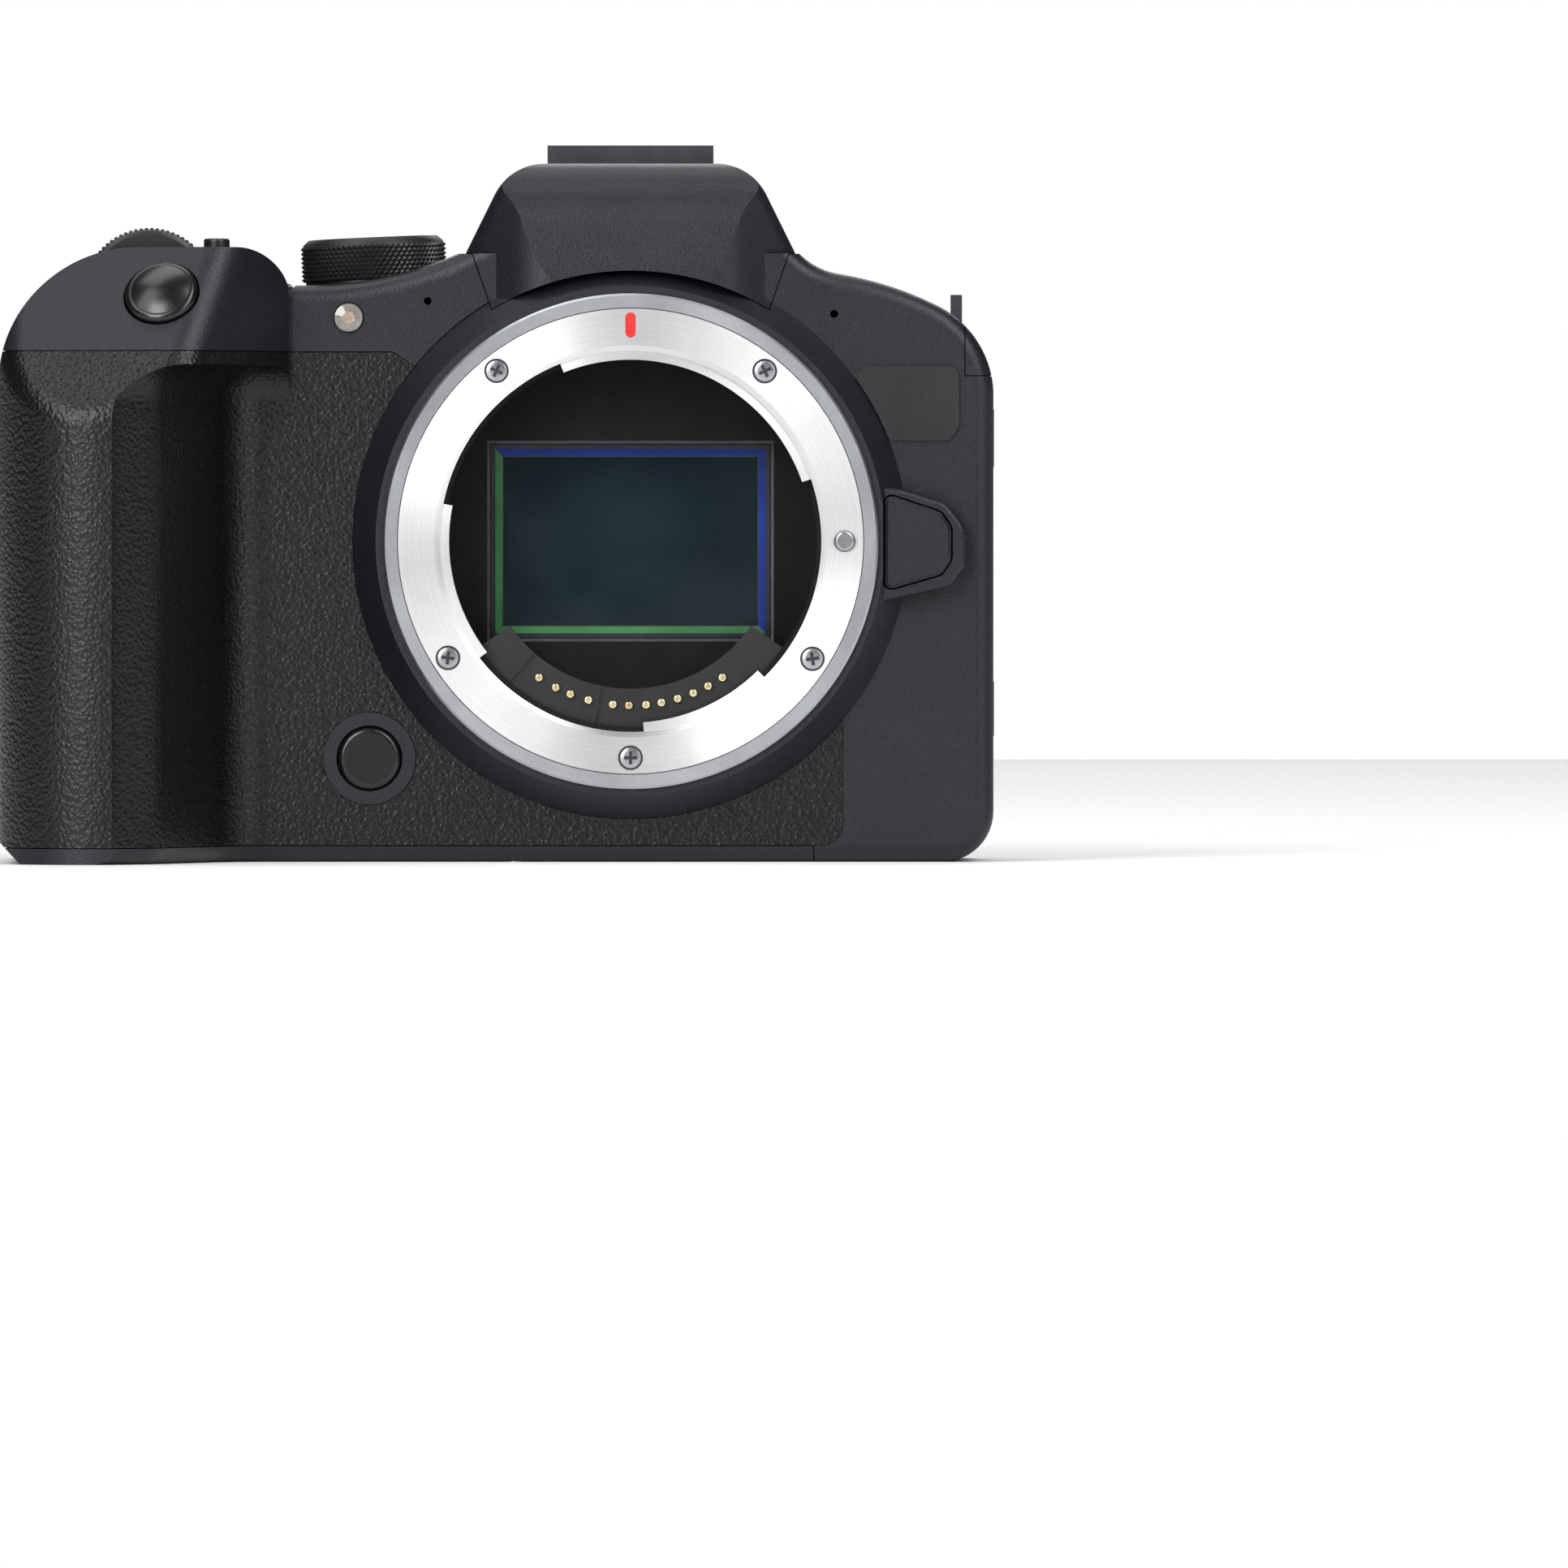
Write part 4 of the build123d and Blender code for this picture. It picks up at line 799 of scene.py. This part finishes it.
def makeSeamShadeStrip():
    # near-black strip inside the hump, painted shade behind the seams of its cover: no light comes through them
    spans = [seamShadeStrip[axis] for axis in "xyz"]
    shape = bmesh.new()
    addBlock(shape, [sum(span) / 2 for span in spans], [span[1] - span[0] for span in spans],
             seamShadeStrip["corner"], yAxis)
    x, y, z = seamShadeStrip["tabPlace"]
    for side in (-1, 1):
        addBlock(shape, (side * x, y, z), seamShadeStrip["tab"])
    keepPiece(shape, "seamShadeStrip", "camera", [lightTrap])


makeSeamShadeStrip()

baseScrews = {
    "places": ((-57, 10), (-57, -8), (-18, 17), (20, 19), (20, -7), (-16, -9)),
    "radius": 1.7, "top": 0.3, "height": 0.34, "steps": ((0.35, 0.0), (0.3, -0.2)),
}


def makeBaseScrews():
    shape = bmesh.new()
    for x, y in baseScrews["places"]:
        verts = addDisc(shape, (x, y, baseScrews["top"]), -zAxis, baseScrews["radius"], baseScrews["height"])
        under = facesTowards({face for vert in verts for face in vert.link_faces}, -zAxis)
        for thickness, depth in baseScrews["steps"]:
            bmesh.ops.inset_region(shape, faces=under, thickness=thickness * mm, depth=depth * mm)
    keepPiece(shape, "baseScrewHeads", "camera", [steelScrew])


makeBaseScrews()
print("pieces made")

shot = {
    "distance": 3.0,  # m from the lens flange, a long lens
    "acrossFrame": 217.6,  # mm of the object's plane that fill the frame's width
    "frameCentre": (21.3, 10.9),  # mm, x and z at the middle of the frame
    "clipEnd": 100,
}


def placeCamera():
    data = bpy.data.cameras.new("camera")
    data.lens = data.sensor_width * shot["distance"] / (shot["acrossFrame"] * mm)
    data.shift_x = (shot["frameCentre"][0] * mm - lensCentre.x) / (shot["acrossFrame"] * mm)
    data.shift_y = (shot["frameCentre"][1] * mm - lensCentre.z) / (shot["acrossFrame"] * mm)
    data.clip_end = shot["clipEnd"]
    camera = bpy.data.objects.new("camera", data)
    camera.location = (lensCentre.x, mountBox[0].y - shot["distance"], lensCentre.z)
    camera.rotation_euler = (math.pi / 2, 0, 0)
    bpy.context.scene.collection.objects.link(camera)
    bpy.context.scene.camera = camera


placeCamera()

floorHalf = 1.4  # m


def addFloor():
    shape = bmesh.new()
    bmesh.ops.create_grid(shape, x_segments=1, y_segments=1, size=floorHalf)
    mesh = bpy.data.meshes.new("floor")
    shape.to_mesh(mesh)
    shape.free()
    floor = bpy.data.objects.new("floor", mesh)
    bpy.context.scene.collection.objects.link(floor)
    # paper sweep, matt
    mesh.materials.append(grainedFinish("paleFloor", {
        "dark": "#f2f2f2", "light": "#f6f6f6", "driftSize": 900, "grainSize": 4,
        "roughness": (0.7, 0.8), "relief": 0.05,
    }))


addFloor()

lights = {
    # place and aimed-at point (m), width, height (m), power (W)
    "leftBox": ((-0.85, -1.6, 0.9), (0, 0, 0.05), 0.7, 1.4, 29),
    "rightBox": ((1.2, -1.4, 0.9), (0, 0, 0.05), 0.6, 1.2, 12),
    "topBox": ((-0.2, 0.3, 1.6), (0, 0, 0.05), 1.5, 0.7, 9),
    "highLeftBox": ((-0.95, -0.75, 1.35), (0, 0, 0.05), 0.6, 0.9, 5),
    "highRightBox": ((0.8, -0.8, 1.4), (0, 0, 0.05), 0.6, 1.0, 12),
    "rearBox": ((0.0, 1.7, 1.1), (0, 0, 0.05), 1.6, 0.8, 12),
}
for name, (place, target, width, height, power) in lights.items():
    data = bpy.data.lights.new(name, "AREA")
    data.shape = "RECTANGLE"
    data.size = width
    data.size_y = height
    data.energy = power
    lamp = bpy.data.objects.new(name, data)
    lamp.location = place
    lamp.rotation_euler = (Vector(target) - Vector(place)).to_track_quat("-Z", "Y").to_euler()
    bpy.context.scene.collection.objects.link(lamp)

# the room is dim for the light it gives, and white where the camera sees it
world = bpy.data.worlds.new("studio")
world.use_nodes = True
worldTree = world.node_tree
worldTree.nodes.clear()
room = addNode(worldTree, "ShaderNodeBackground", {"Color": linear("#d8dade"), "Strength": 0.08})
paper = addNode(worldTree, "ShaderNodeBackground", {"Color": (1, 1, 1, 1), "Strength": 1.0})
seen = addNode(worldTree, "ShaderNodeLightPath")
mixed = addNode(worldTree, "ShaderNodeMixShader", links={
    0: seen.outputs["Is Camera Ray"], 1: room.outputs[0], 2: paper.outputs[0],
})
addNode(worldTree, "ShaderNodeOutputWorld", links={"Surface": mixed.outputs[0]})
bpy.context.scene.world = world
bpy.context.scene.view_settings.view_transform = "Standard"
print("camera, floor and", len(lights), "lights placed")
